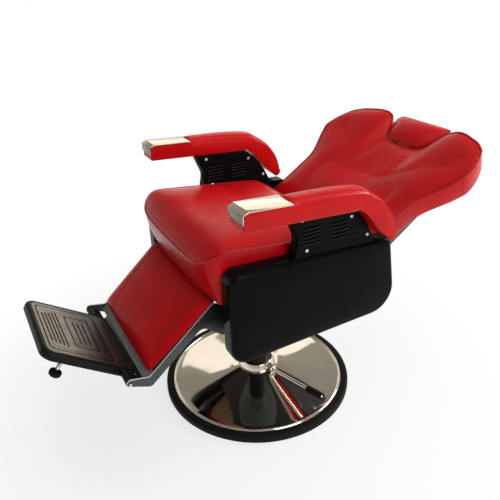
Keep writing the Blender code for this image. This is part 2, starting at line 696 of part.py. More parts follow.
def make_side_frame(side, sign):
    boss = PIVOT_BOSS
    corner = SIDE_FRAME_CORNER
    half = CROSS_PLATE_LENGTH / 2 + SIDE_FRAME_OVERHANG
    front_stem = PANEL_FRONT + STEM_INSET
    rear_low = PANEL_REAR - STEM_INSET
    drop = arm_inside(PANEL_ARM_GAP + STEM_INSET)
    top_rear = ARM_UNDER_REAR - PANEL_TOP_CUT - STEM_INSET
    outline = rounded([
        (-half, SIDE_FRAME_FOOT, corner), (half, SIDE_FRAME_FOOT, corner),
        (BACK_PIVOT_Y + boss, BACK_PIVOT_Z - boss, boss), (BACK_PIVOT_Y + boss, BACK_PIVOT_Z + boss, boss),
        (rear_low, cover_top(rear_low), 0.0), (*drop[2], 0.0), (*drop[1], 0.0), (*drop[0], 0.0),
        (top_rear, arm_under(top_rear) - TOUCH_GAP, 0.0),
        (front_stem, arm_under(front_stem) - TOUCH_GAP, corner / 3),
        (front_stem, cover_top(front_stem) - SIDE_FRAME_SHOULDER, corner),
        (LEG_PIVOT_Y - boss, LEG_PIVOT_Z + boss, boss), (LEG_PIVOT_Y - boss, LEG_PIVOT_Z - boss, boss),
    ])
    pin_hole = PIVOT_PIN_RADIUS + PIN_CLEARANCE
    holes = [circle(BACK_PIVOT_Y, BACK_PIVOT_Z, pin_hole), circle(LEG_PIVOT_Y, LEG_PIVOT_Z, pin_hole)]
    holes += [circle(y, z, BOLT_RADIUS + PIN_CLEARANCE, BOLT_STEPS) for y, z in bolt_spots()]
    plate = plate_mesh(side + "_side_frame", outline, SIDE_FRAME_THICKNESS, holes)
    middle = (SIDE_FRAME_INNER + SIDE_FRAME_OUTER) / 2
    add_part(side + "_side_frame", plate, "matte_black", seat_axis, (sign * middle, 0.0, 0.0), ON_EDGE)


def make_seat_cushion():
    depth = SEAT_REAR - SEAT_FRONT

    def place(u, v, level):
        y = mix(SEAT_FRONT + SEAT_FRONT_BOW * u * u, SEAT_REAR, v)
        seam = mix(SEAT_SEAM_FRONT_HEIGHT, SEAT_SEAM_REAR_HEIGHT, v)
        roll = max(0.0, 1.0 - v * depth / SEAT_ROLL_DEPTH)
        crown = SEAT_CROWN * (1 - u ** 4) * (1 - (2 * v - 1) ** 6)
        top = seam + crown - SEAT_FRONT_ROLL * roll * roll
        drawn_in = 1.0 - SEAT_SIDE_TUCK * (1 - level) ** 2
        tuck = (1 - level) ** 1.5
        y += SEAT_FRONT_TUCK * tuck * max(0.0, 1 - 3 * v) - SEAT_REAR_TUCK * tuck * max(0.0, 3 * v - 2)
        bottom = SEAT_BASE_HEIGHT - SEAT_LIP * (v == 0.0)
        return (SEAT_HALF_WIDTH * u * drawn_in, y, mix(bottom, top, level))

    across = (-1.0, -0.92, -0.5, 0.0, 0.5, 0.92, 1.0)
    along = (0.0, 0.06, 0.14, 0.30, 0.54, 0.77, 0.93, 1.0)
    soft_part("seat_cushion", across, along, place, (0.0, 0.35, 0.72, 1.0), seat_axis)


def cover_outline():
    return rounded([
        (COVER_FRONT, COVER_TOP_FRONT, COVER_FRONT_TOP_ROUND),
        (COVER_FRONT, COVER_BOTTOM_FRONT, COVER_FRONT_LOW_ROUND),
        (COVER_REAR_LOW * COVER_KEEL_SHARE, COVER_BOTTOM_REAR - COVER_KEEL_DROP, COVER_KEEL_ROUND),
        (COVER_REAR_LOW + COVER_HEEL_REACH, COVER_BOTTOM_REAR, COVER_HEEL_ROUND),
        (COVER_REAR_TOP, COVER_TOP_REAR, COVER_REAR_TOP_ROUND),
    ], 5)


def make_cover(side, sign):
    shell = bmesh.new()
    face = shell.faces.new([shell.verts.new((sign * COVER_OUTER, y, z)) for y, z in cover_outline()])
    walls = bmesh.ops.extrude_edge_only(shell, edges=face.edges[:])
    rim = [item for item in walls["geom"] if isinstance(item, bmesh.types.BMVert)]
    bmesh.ops.translate(shell, verts=rim, vec=(-sign * COVER_DEPTH, 0.0, 0.0))
    bmesh.ops.recalc_face_normals(shell, faces=shell.faces)
    if face.normal.x * sign < 0.0:
        bmesh.ops.reverse_faces(shell, faces=shell.faces)
    mesh = bpy.data.meshes.new(side + "_side_cover")
    shell.to_mesh(mesh)
    shell.free()
    cover = add_part(side + "_side_cover", mesh, "gloss_black", seat_axis)
    edge = cover.modifiers.new("edge", 'BEVEL')
    edge.width = COVER_EDGE
    edge.segments = 2
    edge.limit_method = 'ANGLE'
    edge.angle_limit = math.radians(60.0)
    wall = cover.modifiers.new("wall", 'SOLIDIFY')
    wall.thickness = COVER_WALL
    wall.offset = -1.0
    front = PANEL_FRONT + STEM_INSET - PIN_CLEARANCE
    rear = PANEL_REAR + STEM_INSET
    wide = SIDE_FRAME_THICKNESS + 2 * PIN_CLEARANCE
    gate = box_mesh(side + "_stem_slot", (wide, rear - front, STEM_SLOT_HEIGHT))
    middle = (SIDE_FRAME_INNER + SIDE_FRAME_OUTER) / 2
    height = cover_top((front + rear) / 2)
    combine(cover, add_cutter(side + "_stem_slot", gate, seat_axis,
                              (sign * middle, (front + rear) / 2, height)), 'DIFFERENCE')
    return cover


def make_panels(side, sign):
    top_front = PANEL_FRONT - PANEL_FRONT_SWEEP
    top_rear = ARM_UNDER_REAR - PANEL_TOP_CUT
    drop = arm_inside(PANEL_ARM_GAP)
    sag = PANEL_FRONT + PANEL_FRONT_SAG
    mid = mix(cover_top(sag), arm_under(sag), 0.45)
    outline = rounded([
        (PANEL_FRONT, cover_top(PANEL_FRONT) + TOUCH_GAP, 0.0),
        (PANEL_REAR, cover_top(PANEL_REAR) + TOUCH_GAP, 0.0),
        (*drop[2], 0.0), (*drop[1], 0.0), (*drop[0], 0.0), (top_rear, arm_under(top_rear) - TOUCH_GAP, 0.0),
        (top_front, arm_under(top_front) - TOUCH_GAP, 0.0), (sag, mid, PANEL_FRONT_ROUND),
    ])
    holes = [circle(y, z, BOLT_RADIUS + PIN_CLEARANCE, BOLT_STEPS) for y, z in bolt_spots()]
    centre = mix(PANEL_FRONT, ARM_UNDER_REAR, LOUVRE_CENTRE)
    for half_step in (-0.5, 0.5):
        y = centre + half_step * LOUVRE_GROUP_SPACING
        base = mix(cover_top(y), arm_under(y), 0.5) - LOUVRE_PITCH * (LOUVRE_COUNT - 1) / 2
        holes += [slot(y, base + LOUVRE_PITCH * k, LOUVRE_LENGTH, LOUVRE_HEIGHT) for k in range(LOUVRE_COUNT)]
    for layer, inner in (("inner", PANEL_INNER), ("outer", PANEL_OUTER - PANEL_THICKNESS)):
        name = side + "_" + layer + "_arm_panel"
        add_part(name, plate_mesh(name, outline, PANEL_THICKNESS, holes), "matte_black", seat_axis,
                 (sign * (inner + PANEL_THICKNESS / 2), 0.0, 0.0), ON_EDGE)


def make_bolts(side, sign):
    grip = PANEL_OUTER - PANEL_INNER + 2 * TOUCH_GAP
    half = grip / 2
    end = half + BOLT_HEAD_HEIGHT
    crown = BOLT_HEAD_RADIUS * 0.7
    for number, (y, z) in enumerate(bolt_spots(), 1):
        turned(f"{side}_panel_bolt_{number}", [
            (0.0, end), (crown, end), (BOLT_HEAD_RADIUS, half), (BOLT_RADIUS, half),
            (BOLT_RADIUS, -half), (BOLT_HEAD_RADIUS, -half), (crown, -end), (0.0, -end),
        ], "steel", seat_axis, False, BOLT_STEPS, (sign * (PANEL_INNER + PANEL_OUTER) / 2, y, z), ALONG_X)


def cap_line(y):
    return arm_under(y) + ARM_DEPTH


def make_arm(side, sign):
    spine = [(ARM_FRONT, cap_line(ARM_FRONT) - ARM_NOSE_DROP, ARM_FRONT, arm_under(ARM_FRONT)),
             (CAP_REAR, cap_line(CAP_REAR) + ARM_CAP_LIFT, CAP_REAR, arm_under(CAP_REAR))]
    for share, lean, lift in ARM_RUN:
        y = mix(CAP_REAR, ARM_UNDER_REAR, share)
        spine.append((y + lean, cap_line(y) + lift, y, arm_under(y)))
    for (y, z), (_, _, out, up) in zip(arm_inside(0.0), ARM_DROP):
        spine.append((y + out, z + up, y, z))
    marks = spread(0.0, 1.0, len(spine) - 1)
    middle = sign * ARM_MIDDLE

    def place(u, v, level):
        top_y, top_z, low_y, low_z = spine[round(v * (len(spine) - 1))]
        swell = ARM_CROWN * (1 - u * u) * level
        outward = Vector((top_y - low_y, top_z - low_z)).normalized() * swell
        drawn_in = 1.0 - ARM_SIDE_TUCK * (1 - level) - ARM_TOP_TUCK * (level == 1.0)
        return (middle + ARM_WIDTH / 2 * u * drawn_in, mix(low_y, top_y, level) + outward.x,
                mix(low_z, top_z, level) + outward.y)

    pad = soft_part(side + "_arm_pad", (-1.0, -0.5, 0.5, 1.0), marks, place, (0.0, 0.5, 0.85, 1.0), seat_axis)
    seat_of_cap = cap_outline(CAP_THICKNESS + TOUCH_GAP)
    front = ARM_FRONT - CAP_ROOM
    ceiling = cap_line(CAP_REAR) + CAP_ROOM
    floor = arm_under(ARM_FRONT) - CAP_ROOM
    room = [(CAP_REAR + TOUCH_GAP, ceiling), (front, ceiling), (front, floor), (seat_of_cap[-1][0], floor)]
    room += list(reversed(seat_of_cap))
    room[-1] = (CAP_REAR + TOUCH_GAP, room[-1][1])
    cutter = plate_mesh(side + "_cap_seat", room, ARM_WIDTH * 1.5)
    combine(pad, add_cutter(side + "_cap_seat", cutter, seat_axis, (middle, 0.0, 0.0), ON_EDGE), 'DIFFERENCE')
    shape = cap_outline(0.0) + list(reversed(cap_outline(CAP_THICKNESS)))
    cap = plate_mesh(side + "_arm_cap", shape, ARM_WIDTH)
    add_part(side + "_arm_cap", cap, "chrome", seat_axis, (middle, 0.0, 0.0), ON_EDGE)


def cap_outline(depth):
    """Line over the cap from its rear edge to its front lip, sunk below its top by a depth."""
    bend = ARM_FRONT + CAP_CHAMFER
    nose = ARM_FRONT - CAP_THICKNESS + depth
    return [(CAP_REAR, cap_line(CAP_REAR) - depth), (bend + depth * 0.3, cap_line(bend) - depth),
            (nose, cap_line(bend) - CAP_CHAMFER * 0.6 - depth * 0.4), (nose, cap_line(bend) - CAP_LIP)]


def make_pivot_pins(side, sign):
    head = SIDE_FRAME_OUTER + TOUCH_GAP
    for name, y, z, inner in (("back", BACK_PIVOT_Y, BACK_PIVOT_Z, BACK_ARM_INNER),
                              ("leg", LEG_PIVOT_Y, LEG_PIVOT_Z, RAIL_INNER)):
        length = head - inner
        turned(f"{side}_{name}_pivot_pin", [
            (0.0, PIVOT_HEAD_HEIGHT), (PIVOT_HEAD_RADIUS, PIVOT_HEAD_HEIGHT), (PIVOT_HEAD_RADIUS, 0.0),
            (PIVOT_PIN_RADIUS, 0.0), (PIVOT_PIN_RADIUS, -length), (0.0, -length),
        ], "steel", seat_axis, False, PIN_STEPS, (sign * head, y, z), (0.0, sign * math.pi / 2, 0.0))


def tilted(y, z, angle):
    """A seat-frame offset in a frame that is tilted about X."""
    return (y * math.cos(angle) + z * math.sin(angle), z * math.cos(angle) - y * math.sin(angle))


def back_spot(u, v, shrink=0.0):
    """Point of the back's outline grid: u across from -1 to 1, v up the back from 0 to 1."""
    top = through(BACK_TOP, abs(u)) - shrink
    s = mix(BACK_BOTTOM + shrink, top, v)
    return u * (through(BACK_SIDE, s) - shrink), s


def make_back():
    def place(u, v, level):
        x, s = back_spot(u, v)
        side = abs(u)
        hollow = BACK_RECESS * (1 - side ** 2.2) * (0.35 + 0.65 * v)
        puff = BACK_PUFF * math.sin(math.pi * min(1.0, side)) ** 2 * v
        front = BACK_THICKNESS - hollow + puff
        drawn_in = 1.0 - BACK_SIDE_TUCK * (1 - level) ** 2
        low = 1.0 - BACK_TOP_TUCK * (1 - level)
        return (x * drawn_in, mix(BACK_BOTTOM, s, low), front * level)

    across = [-1.0, -0.92, -0.72, -0.46, -0.34, -0.18, 0.0]
    across += [-u for u in reversed(across[:-1])]
    soft_part("back_cushion", across, [0.0, 0.07, 0.26, 0.48, 0.70, 0.89, 1.0], place,
              (0.0, 0.45, 0.86, 1.0), back_axis)
    make_back_board()
    for side, sign in SIDES:
        make_back_arm(side, sign)
    make_headrest()


def make_back_board():
    steps = spread(-1.0, 1.0, 20)
    outline = [back_spot(u, 1.0, BACK_BOARD_INSET) for u in reversed(steps)]
    outline += [back_spot(-1.0, v, BACK_BOARD_INSET) for v in reversed(spread(0.0, 1.0, 8)[:-1])]
    outline += [back_spot(1.0, v, BACK_BOARD_INSET) for v in spread(0.0, 1.0, 8)[:-1]]
    board = plate_mesh("back_board", outline, BACK_BOARD_THICKNESS)
    add_part("back_board", board, "matte_black", back_axis, (0.0, 0.0, -TOUCH_GAP - BACK_BOARD_THICKNESS / 2))


def make_back_arm(side, sign):
    crank_s, crank_n = tilted(CRANK_Y, CRANK_Z, BACK_ANGLE)
    boss = PIVOT_BOSS
    lobe = CRANK_LOBE
    deck = -2 * TOUCH_GAP - BACK_BOARD_THICKNESS
    keel = deck - BACK_ARM_DEPTH
    outline = rounded([
        (-boss, boss, boss * 0.9), (boss, boss, boss * 0.9),
        (BACK_BOTTOM, deck, 0.004), (BACK_ARM_REACH, deck, 0.004),
        (BACK_ARM_REACH, keel * 0.6, 0.010), (BACK_BOTTOM * 2, keel, 0.020),
        (crank_s + lobe, crank_n - lobe, lobe), (crank_s - lobe, crank_n - lobe, lobe * 0.9),
        (crank_s - lobe, crank_n + lobe, lobe * 0.9),
    ])
    holes = [circle(0.0, 0.0, PIVOT_PIN_RADIUS + PIN_CLEARANCE)]
    name = side + "_back_arm"
    middle = (BACK_ARM_INNER + BACK_ARM_OUTER) / 2
    arm = add_part(name, plate_mesh(name, outline, BACK_ARM_THICKNESS, holes), "grey_paint", back_axis,
                   (sign * middle, 0.0, 0.0), ON_EDGE)
    start = middle
    if sign < 0.0:
        start = BACK_ARM_INNER - 2 * SLIDE_CLEARANCE - LOCK_EYE_WIDTH - 2 * TOUCH_GAP
    end = LINK_OUTER + TOUCH_GAP
    stud = rod_mesh(side + "_back_stud", CRANK_STUD_RADIUS, end - start, PIN_STEPS)
    spot = (sign * (start + end) / 2, crank_s, crank_n)
    combine(arm, add_cutter(side + "_back_stud", stud, back_axis, spot, ALONG_X), 'UNION')


def make_headrest():
    rear = -TOUCH_GAP - BACK_BOARD_THICKNESS - 2 * SLIDE_CLEARANCE
    cheeks = ((0.0, HEADREST_CHIN), (0.5, HEADREST_CHEEK), (1.0, 1.0))

    def place(u, v, level):
        half = HEADREST_HALF_WIDTH * through(cheeks, v)
        s = mix(HEADREST_BOTTOM, HEADREST_TOP, v)
        crown = HEADREST_CROWN * (1 - u * u) * (1 - (2 * v - 1) ** 4)
        front = HEADREST_FRONT + crown - HEADREST_TOP_ROLL * v ** 3
        drawn_in = 1.0 - BACK_SIDE_TUCK * (1 - level) ** 2
        slope = HEADREST_EDGE_SLOPE * (1 - level) * (2 * v - 1)
        return (half * u * drawn_in, s - slope, mix(rear, front, level))

    soft_part("headrest_pad", (-1.0, -0.7, 0.0, 0.7, 1.0), spread(0.0, 1.0, 4), place,
              (0.0, 0.4, 0.8, 1.0), head_axis)
    post_front = rear - TOUCH_GAP
    post_top = HEADREST_TOP - POST_END_INSET
    post = box_mesh("headrest_post", (POST_WIDTH, post_top - POST_BOTTOM, POST_THICKNESS))
    middle = post_front - POST_THICKNESS / 2
    add_part("headrest_post", post, "steel", head_axis, (0.0, (post_top + POST_BOTTOM) / 2, middle))
    deck = -2 * TOUCH_GAP - BACK_BOARD_THICKNESS
    floor = post_front - POST_THICKNESS - SLIDE_CLEARANCE - GUIDE_WALL
    slot_width = POST_WIDTH + 2 * SLIDE_CLEARANCE
    guide = box_mesh("headrest_guide", (slot_width + 2 * GUIDE_WALL, GUIDE_LENGTH, deck - floor))
    at = SLEEVE_BOTTOM + GUIDE_LENGTH / 2
    part = add_part("headrest_guide", guide, "grey_paint", back_axis, (0.0, at, (deck + floor) / 2))
    slide = box_mesh("post_slot", (slot_width, GUIDE_LENGTH * 2, 2 * (deck - floor - GUIDE_WALL)))
    combine(part, add_cutter("post_slot", slide, back_axis, (0.0, at, deck)), 'DIFFERENCE')


def make_leg_rest():
    front = RAIL_FRONT
    bed = front + TOUCH_GAP

    def place(u, v, level):
        s = mix(LEG_PAD_BOTTOM, LEG_PAD_TOP, v)
        half = mix(LEG_PAD_BOTTOM_HALF, LEG_PAD_TOP_HALF, v)
        edge = max(abs(u) ** 6, abs(2 * v - 1) ** 8)
        top = bed + LEG_PAD_EDGE + LEG_PAD_CROWN * (1 - edge)
        drawn_in = 1.0 - LEG_PAD_SIDE_TUCK * (1 - level)
        slope = LEG_PAD_END_TUCK * (1 - level) * (1 - 2 * v)
        return (half * u * drawn_in, s + slope, mix(bed, top, level))

    soft_part("leg_pad", [-1.0, -0.90, -0.55, 0.0, 0.55, 0.90, 1.0], [0.0, 0.08, 0.5, 0.92, 1.0], place,
              (0.0, 0.55, 1.0), leg_axis)
    width = 2 * (RAIL_INNER - TOUCH_GAP)
    top = LEG_PAD_TOP - LEG_BOARD_TOP_INSET
    bottom = -RAIL_LENGTH + CROSS_BAR_WIDTH / 2
    board = box_mesh("leg_board", (width, top - bottom, LEG_BOARD_THICKNESS))
    add_part("leg_board", board, "plywood", leg_axis,
             (0.0, (top + bottom) / 2, front - LEG_BOARD_THICKNESS / 2))
    bar = box_mesh("leg_cross_plate", (width, CROSS_BAR_WIDTH, CROSS_BAR_THICKNESS))
    add_part("leg_cross_plate", bar, "grey_paint", leg_axis,
             (0.0, bottom - TOUCH_GAP - CROSS_BAR_WIDTH / 2,
              front - CROSS_BAR_THICKNESS / 2 - CROSS_BAR_INSET))
    for side, sign in SIDES:
        make_rail(side, sign)
    rod = rod_mesh("footrest_hinge_rod", HINGE_ROD_RADIUS, 2 * (RAIL_OUTER + HINGE_ROD_END), PIN_STEPS)
    add_part("footrest_hinge_rod", rod, "chrome", leg_axis, (0.0, FOOT_PIVOT_S, FOOT_PIVOT_N), ALONG_X)


def make_rail(side, sign):
    crank_s, crank_n = tilted(CRANK_Y, CRANK_Z, LEG_ANGLE)
    boss = 2.3 * PIVOT_PIN_RADIUS
    lobe = CRANK_LOBE
    toe = 2.6 * HINGE_ROD_RADIUS
    rear = RAIL_FRONT - RAIL_WIDTH
    outline = rounded([
        (boss, -boss * 0.4, boss), (-boss * 0.5, RAIL_FRONT, 0.010), (-RAIL_LENGTH, RAIL_FRONT, 0.010),
        (FOOT_PIVOT_S + toe * 0.7, FOOT_PIVOT_N + toe, toe),
        (FOOT_PIVOT_S - toe, FOOT_PIVOT_N + toe * 0.6, toe),
        (-RAIL_LENGTH - RAIL_WIDTH * 0.75, rear, 0.012), (crank_s - 2 * lobe, rear, 0.020),
        (crank_s - lobe, crank_n - lobe * 0.6, lobe), (crank_s + lobe, crank_n - lobe, lobe),
    ])
    holes = [circle(0.0, 0.0, PIVOT_PIN_RADIUS + PIN_CLEARANCE),
             circle(FOOT_PIVOT_S, FOOT_PIVOT_N, HINGE_ROD_RADIUS + TOUCH_GAP)]
    name = side + "_leg_rail"
    middle = (RAIL_INNER + RAIL_OUTER) / 2
    rail = add_part(name, plate_mesh(name, outline, RAIL_THICKNESS, holes), "grey_paint", leg_axis,
                    (sign * middle, 0.0, 0.0), ON_EDGE)
    end = LINK_OUTER + TOUCH_GAP
    stud = rod_mesh(side + "_leg_stud", CRANK_STUD_RADIUS, end - middle, PIN_STEPS)
    spot = (sign * (middle + end) / 2, crank_s, crank_n)
    combine(rail, add_cutter(side + "_leg_stud", stud, leg_axis, spot, ALONG_X), 'UNION')


def foot_outline(inset):
    front = FOOT_FRONT + inset
    rear = FOOT_REAR - inset
    corner = FOOT_CORNER - inset
    return rounded([
        (-FOOT_FRONT_HALF + inset, front, corner), (FOOT_FRONT_HALF - inset, front, corner),
        (FOOT_REAR_HALF - inset, rear, FOOT_REAR_CORNER - inset),
        (-FOOT_REAR_HALF + inset, rear, FOOT_REAR_CORNER - inset),
    ], 5)


def make_footrest():
    tray = add_part("footrest_tray", plate_mesh("footrest_tray", foot_outline(0.0), FOOT_DEPTH), "dark_paint",
                    foot_axis, (0.0, 0.0, FOOT_TOP - FOOT_DEPTH / 2))
    pocket = plate_mesh("tray_pocket", foot_outline(FOOT_WALL), FOOT_DEPTH)
    combine(tray, add_cutter("tray_pocket", pocket, foot_axis,
                             (0.0, 0.0, FOOT_TOP - FOOT_DEPTH / 2 - FOOT_WALL)), 'DIFFERENCE')
    bore = rod_mesh("rod_bore", HINGE_ROD_RADIUS + PIN_CLEARANCE, 4 * FOOT_REAR_HALF, PIN_STEPS)
    combine(tray, add_cutter("rod_bore", bore, foot_axis, rotation=ALONG_X), 'DIFFERENCE')
    under = FOOT_TOP - FOOT_WALL - TOUCH_GAP
    for side, sign in SIDES:
        spot = sign * BUMPER_X
        stud = rod_mesh(side + "_bumper_stud", STUD_RADIUS, STUD_LENGTH, PIN_STEPS)
        add_part(side + "_bumper_stud", stud, "steel", foot_axis, (spot, BUMPER_Y, under - STUD_LENGTH / 2))
        top = under - STUD_LENGTH - TOUCH_GAP
        edge = BUMPER_HEIGHT / 4
        turned(side + "_bumper_foot", [
            (0.0, top), (BUMPER_RADIUS - edge, top), (BUMPER_RADIUS, top - edge),
            (BUMPER_RADIUS, top - BUMPER_HEIGHT + edge), (BUMPER_RADIUS - edge, top - BUMPER_HEIGHT),
            (0.0, top - BUMPER_HEIGHT),
        ], "rubber", foot_axis, False, BUMPER_STEPS, (spot, BUMPER_Y, 0.0))


def make_link(side, sign, axis):
    run_y = LEG_PIVOT_Y - BACK_PIVOT_Y
    run_z = LEG_PIVOT_Z - BACK_PIVOT_Z
    length = math.hypot(run_y, run_z)
    half = LINK_WIDTH / 2
    outline = rounded([(half, -half, half * 0.99), (half, half, half * 0.99),
                       (-length - half, half, half * 0.99), (-length - half, -half, half * 0.99)])
    hole = CRANK_STUD_RADIUS + PIN_CLEARANCE
    holes = [circle(0.0, 0.0, hole), circle(-length, 0.0, hole)]
    name = side + "_recline_link"
    slope = math.atan2(-run_z, -run_y)
    turn = Matrix.Rotation(slope, 3, 'X') @ ON_EDGE.to_matrix()
    add_part(name, plate_mesh(name, outline, LINK_THICKNESS, holes), "grey_paint", axis,
             (sign * (LINK_INNER + LINK_OUTER) / 2, 0.0, 0.0), turn.to_euler())


def make_lock():
    """Locking strut: a tube fixed to the seat frame and a rod whose end has an upright slot for the stud."""
    sag = CRANK_LENGTH - abs(CRANK_Z)
    height = BACK_PIVOT_Z + CRANK_Z - sag / 2
    x = -(BACK_ARM_INNER - 2 * SLIDE_CLEARANCE - LOCK_EYE_WIDTH / 2)
    bore = LOCK_ROD_RADIUS + SLIDE_CLEARANCE
    length = LOCK_TUBE_REAR - LOCK_TUBE_FRONT
    tube = turned("recline_lock_tube", [
        (0.0, length), (LOCK_TUBE_RADIUS, length), (LOCK_TUBE_RADIUS, 0.0), (bore, 0.0),
        (bore, length - LOCK_END_WALL), (0.0, length - LOCK_END_WALL),
    ], "steel", seat_axis, False, PIPE_STEPS, (x, LOCK_TUBE_REAR, height), (math.pi / 2, 0.0, 0.0))
    foot = CROSS_PLATE_TOP + TOUCH_GAP
    lug_top = height - LOCK_TUBE_RADIUS * 0.4
    lug = box_mesh("lock_lug", (LOCK_TUBE_RADIUS, LOCK_LUG_LENGTH, lug_top - foot))
    combine(tube, add_cutter("lock_lug", lug, seat_axis,
                             (x, LOCK_TUBE_FRONT + LOCK_END_WALL * 0.6, (foot + lug_top) / 2)), 'UNION')
    stud = CRANK_STUD_RADIUS + 2 * PIN_CLEARANCE
    half_slot = stud + sag / 2 + PIN_CLEARANCE
    outline = rounded([(s * (stud + LOCK_EYE_WALL), t * (half_slot + LOCK_EYE_WALL), LOCK_EYE_WALL * 0.7)
                       for s, t in ((-1, -1), (1, -1), (1, 1), (-1, 1))])
    hole = slot(0.0, 0.0, 2 * stud, 2 * half_slot)
    eye = plate_mesh("recline_lock_rod", outline, LOCK_EYE_WIDTH, [hole])
    crank_y = BACK_PIVOT_Y + CRANK_Y
    rod_part = add_part("recline_lock_rod", eye, "chrome", seat_axis, (x, crank_y, height), ON_EDGE)
    front = LOCK_TUBE_REAR - LOCK_ROD_OVERLAP
    back = crank_y - stud - LOCK_EYE_WALL * 0.5
    rod = rod_mesh("lock_rod", LOCK_ROD_RADIUS, back - front, PIN_STEPS)
    spot = (x, (front + back) / 2, height)
    combine(rod_part, add_cutter("lock_rod", rod, seat_axis, spot, ALONG_Y), 'UNION')


def make_release(cover):
    shaft_start = SIDE_FRAME_OUTER + TOUCH_GAP
    bar_start = COVER_OUTER + 2 * SLIDE_CLEARANCE
    bar_end = bar_start + RELEASE_BAR_THICKNESS
    bore = rod_mesh("release_bore", RELEASE_SHAFT_RADIUS + PIN_CLEARANCE, 4 * COVER_WALL, PIPE_STEPS)
    wall = (-COVER_OUTER, 0.0, 0.0)
    combine(cover, add_cutter("release_bore", bore, release_axis, wall, ALONG_X), 'DIFFERENCE')
    half = RELEASE_BAR_WIDTH / 2
    outline = rounded([(-half, -half, half * 0.99), (RELEASE_LENGTH + half, -half, half * 0.99),
                       (RELEASE_LENGTH + half, half, half * 0.99), (-half, half, half * 0.99)])
    turn = Matrix.Rotation(RELEASE_RISE, 3, 'X') @ ON_EDGE.to_matrix()
    bar = plate_mesh("release_lever", outline, RELEASE_BAR_THICKNESS)
    lever = add_part("release_lever", bar, "chrome", release_axis, (-(bar_start + bar_end) / 2, 0.0, 0.0),
                     turn.to_euler())
    middle = bar_start + RELEASE_BAR_THICKNESS / 2
    shaft = rod_mesh("release_shaft", RELEASE_SHAFT_RADIUS, middle - shaft_start, PIPE_STEPS)
    combine(lever, add_cutter("release_shaft", shaft, release_axis, (-(shaft_start + middle) / 2, 0.0, 0.0),
                              ALONG_X), 'UNION')
    end_y = RELEASE_LENGTH * math.cos(RELEASE_RISE)
    end_z = RELEASE_LENGTH * math.sin(RELEASE_RISE)
    grip_length = RELEASE_BAR_THICKNESS + 1.6 * RELEASE_GRIP_RADIUS
    grip = rod_mesh("release_grip", RELEASE_GRIP_RADIUS, grip_length, PIPE_STEPS)
    spot = (-bar_start - grip_length / 2, end_y, end_z)
    combine(lever, add_cutter("release_grip", grip, release_axis, spot, ALONG_X), 'UNION')


for old in list(bpy.data.objects):
    bpy.data.objects.remove(old, do_unlink=True)
PARTS = new_collection("reclining_barber_chair")
CUTTERS = new_collection("cutters")

base_axis = add_empty("base_axis", (0.0, 0.0, 0.0))
lever_spot = (LEVER_PIVOT_RADIUS * math.cos(LEVER_HEADING), LEVER_PIVOT_RADIUS * math.sin(LEVER_HEADING),
              DOME_TOP + TOUCH_GAP + LEVER_PIVOT_HEIGHT)
lever_base = add_empty("lever_base", lever_spot, base_axis)
lever_base.rotation_euler = (0.0, 0.0, LEVER_HEADING)
lever_axis = add_empty("pump_lever_axis", (0.0, 0.0, 0.0), lever_base)
lift_axis = add_empty("lift_axis", (0.0, 0.0, 0.0), base_axis)
seat_axis = add_empty("swivel_axis", (0.0, 0.0, MOUNT_HEIGHT), lift_axis)
back_axis = add_empty("back_axis", (0.0, BACK_PIVOT_Y, BACK_PIVOT_Z), seat_axis, BACK_ANGLE)
head_axis = add_empty("headrest_axis", (0.0, 0.0, 0.0), back_axis)
leg_axis = add_empty("leg_axis", (0.0, LEG_PIVOT_Y, LEG_PIVOT_Z), seat_axis, LEG_ANGLE)
foot_axis = add_empty("footrest_axis", (0.0, FOOT_PIVOT_S, FOOT_PIVOT_N), leg_axis, FOOT_ANGLE - LEG_ANGLE)
link_spot = (0.0, *tilted(CRANK_Y, CRANK_Z, BACK_ANGLE))
link_axis = add_empty("link_axis", link_spot, back_axis, -BACK_ANGLE)
release_axis = add_empty("release_axis", (0.0, RELEASE_Y, RELEASE_Z), seat_axis)

make_base()
make_pump_lever()
make_ram()
make_hub()
make_seat_frame()
make_seat_cushion()
covers = {}
for side, sign in SIDES:
    covers[side] = make_cover(side, sign)
    make_panels(side, sign)
    make_bolts(side, sign)
    make_arm(side, sign)
    make_pivot_pins(side, sign)
    make_link(side, sign, link_axis)
make_back()
make_leg_rest()
make_footrest()
make_lock()
make_release(covers["right"])
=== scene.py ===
"""Looks of the reclining barber chair: finer pieces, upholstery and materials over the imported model."""
import math

import bmesh
import bpy
import numpy as np
from mathutils import Matrix, Vector
from mathutils.bvhtree import BVHTree


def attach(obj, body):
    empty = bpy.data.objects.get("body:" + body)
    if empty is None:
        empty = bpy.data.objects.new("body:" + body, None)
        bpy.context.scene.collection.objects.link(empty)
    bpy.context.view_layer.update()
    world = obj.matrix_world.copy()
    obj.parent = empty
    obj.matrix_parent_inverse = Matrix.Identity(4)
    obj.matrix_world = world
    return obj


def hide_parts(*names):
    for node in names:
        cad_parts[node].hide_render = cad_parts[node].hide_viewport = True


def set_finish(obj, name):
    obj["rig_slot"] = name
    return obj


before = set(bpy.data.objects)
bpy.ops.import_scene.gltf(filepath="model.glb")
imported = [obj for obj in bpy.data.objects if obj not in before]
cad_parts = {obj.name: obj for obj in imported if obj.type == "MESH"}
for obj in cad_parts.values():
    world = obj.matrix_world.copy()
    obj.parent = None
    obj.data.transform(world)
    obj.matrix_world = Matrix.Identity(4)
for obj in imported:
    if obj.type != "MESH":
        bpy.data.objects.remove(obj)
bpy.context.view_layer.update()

SCENE = bpy.context.scene
SIDES = (("left", 1.0), ("right", -1.0))
GAP = 0.0003
QUARTER = math.pi / 2
UP = (0.0, 0.0, 1.0)


def at(x, y, z):
    return Matrix.Translation((x, y, z))


def turned(angle, axis):
    return Matrix.Rotation(angle, 4, axis)


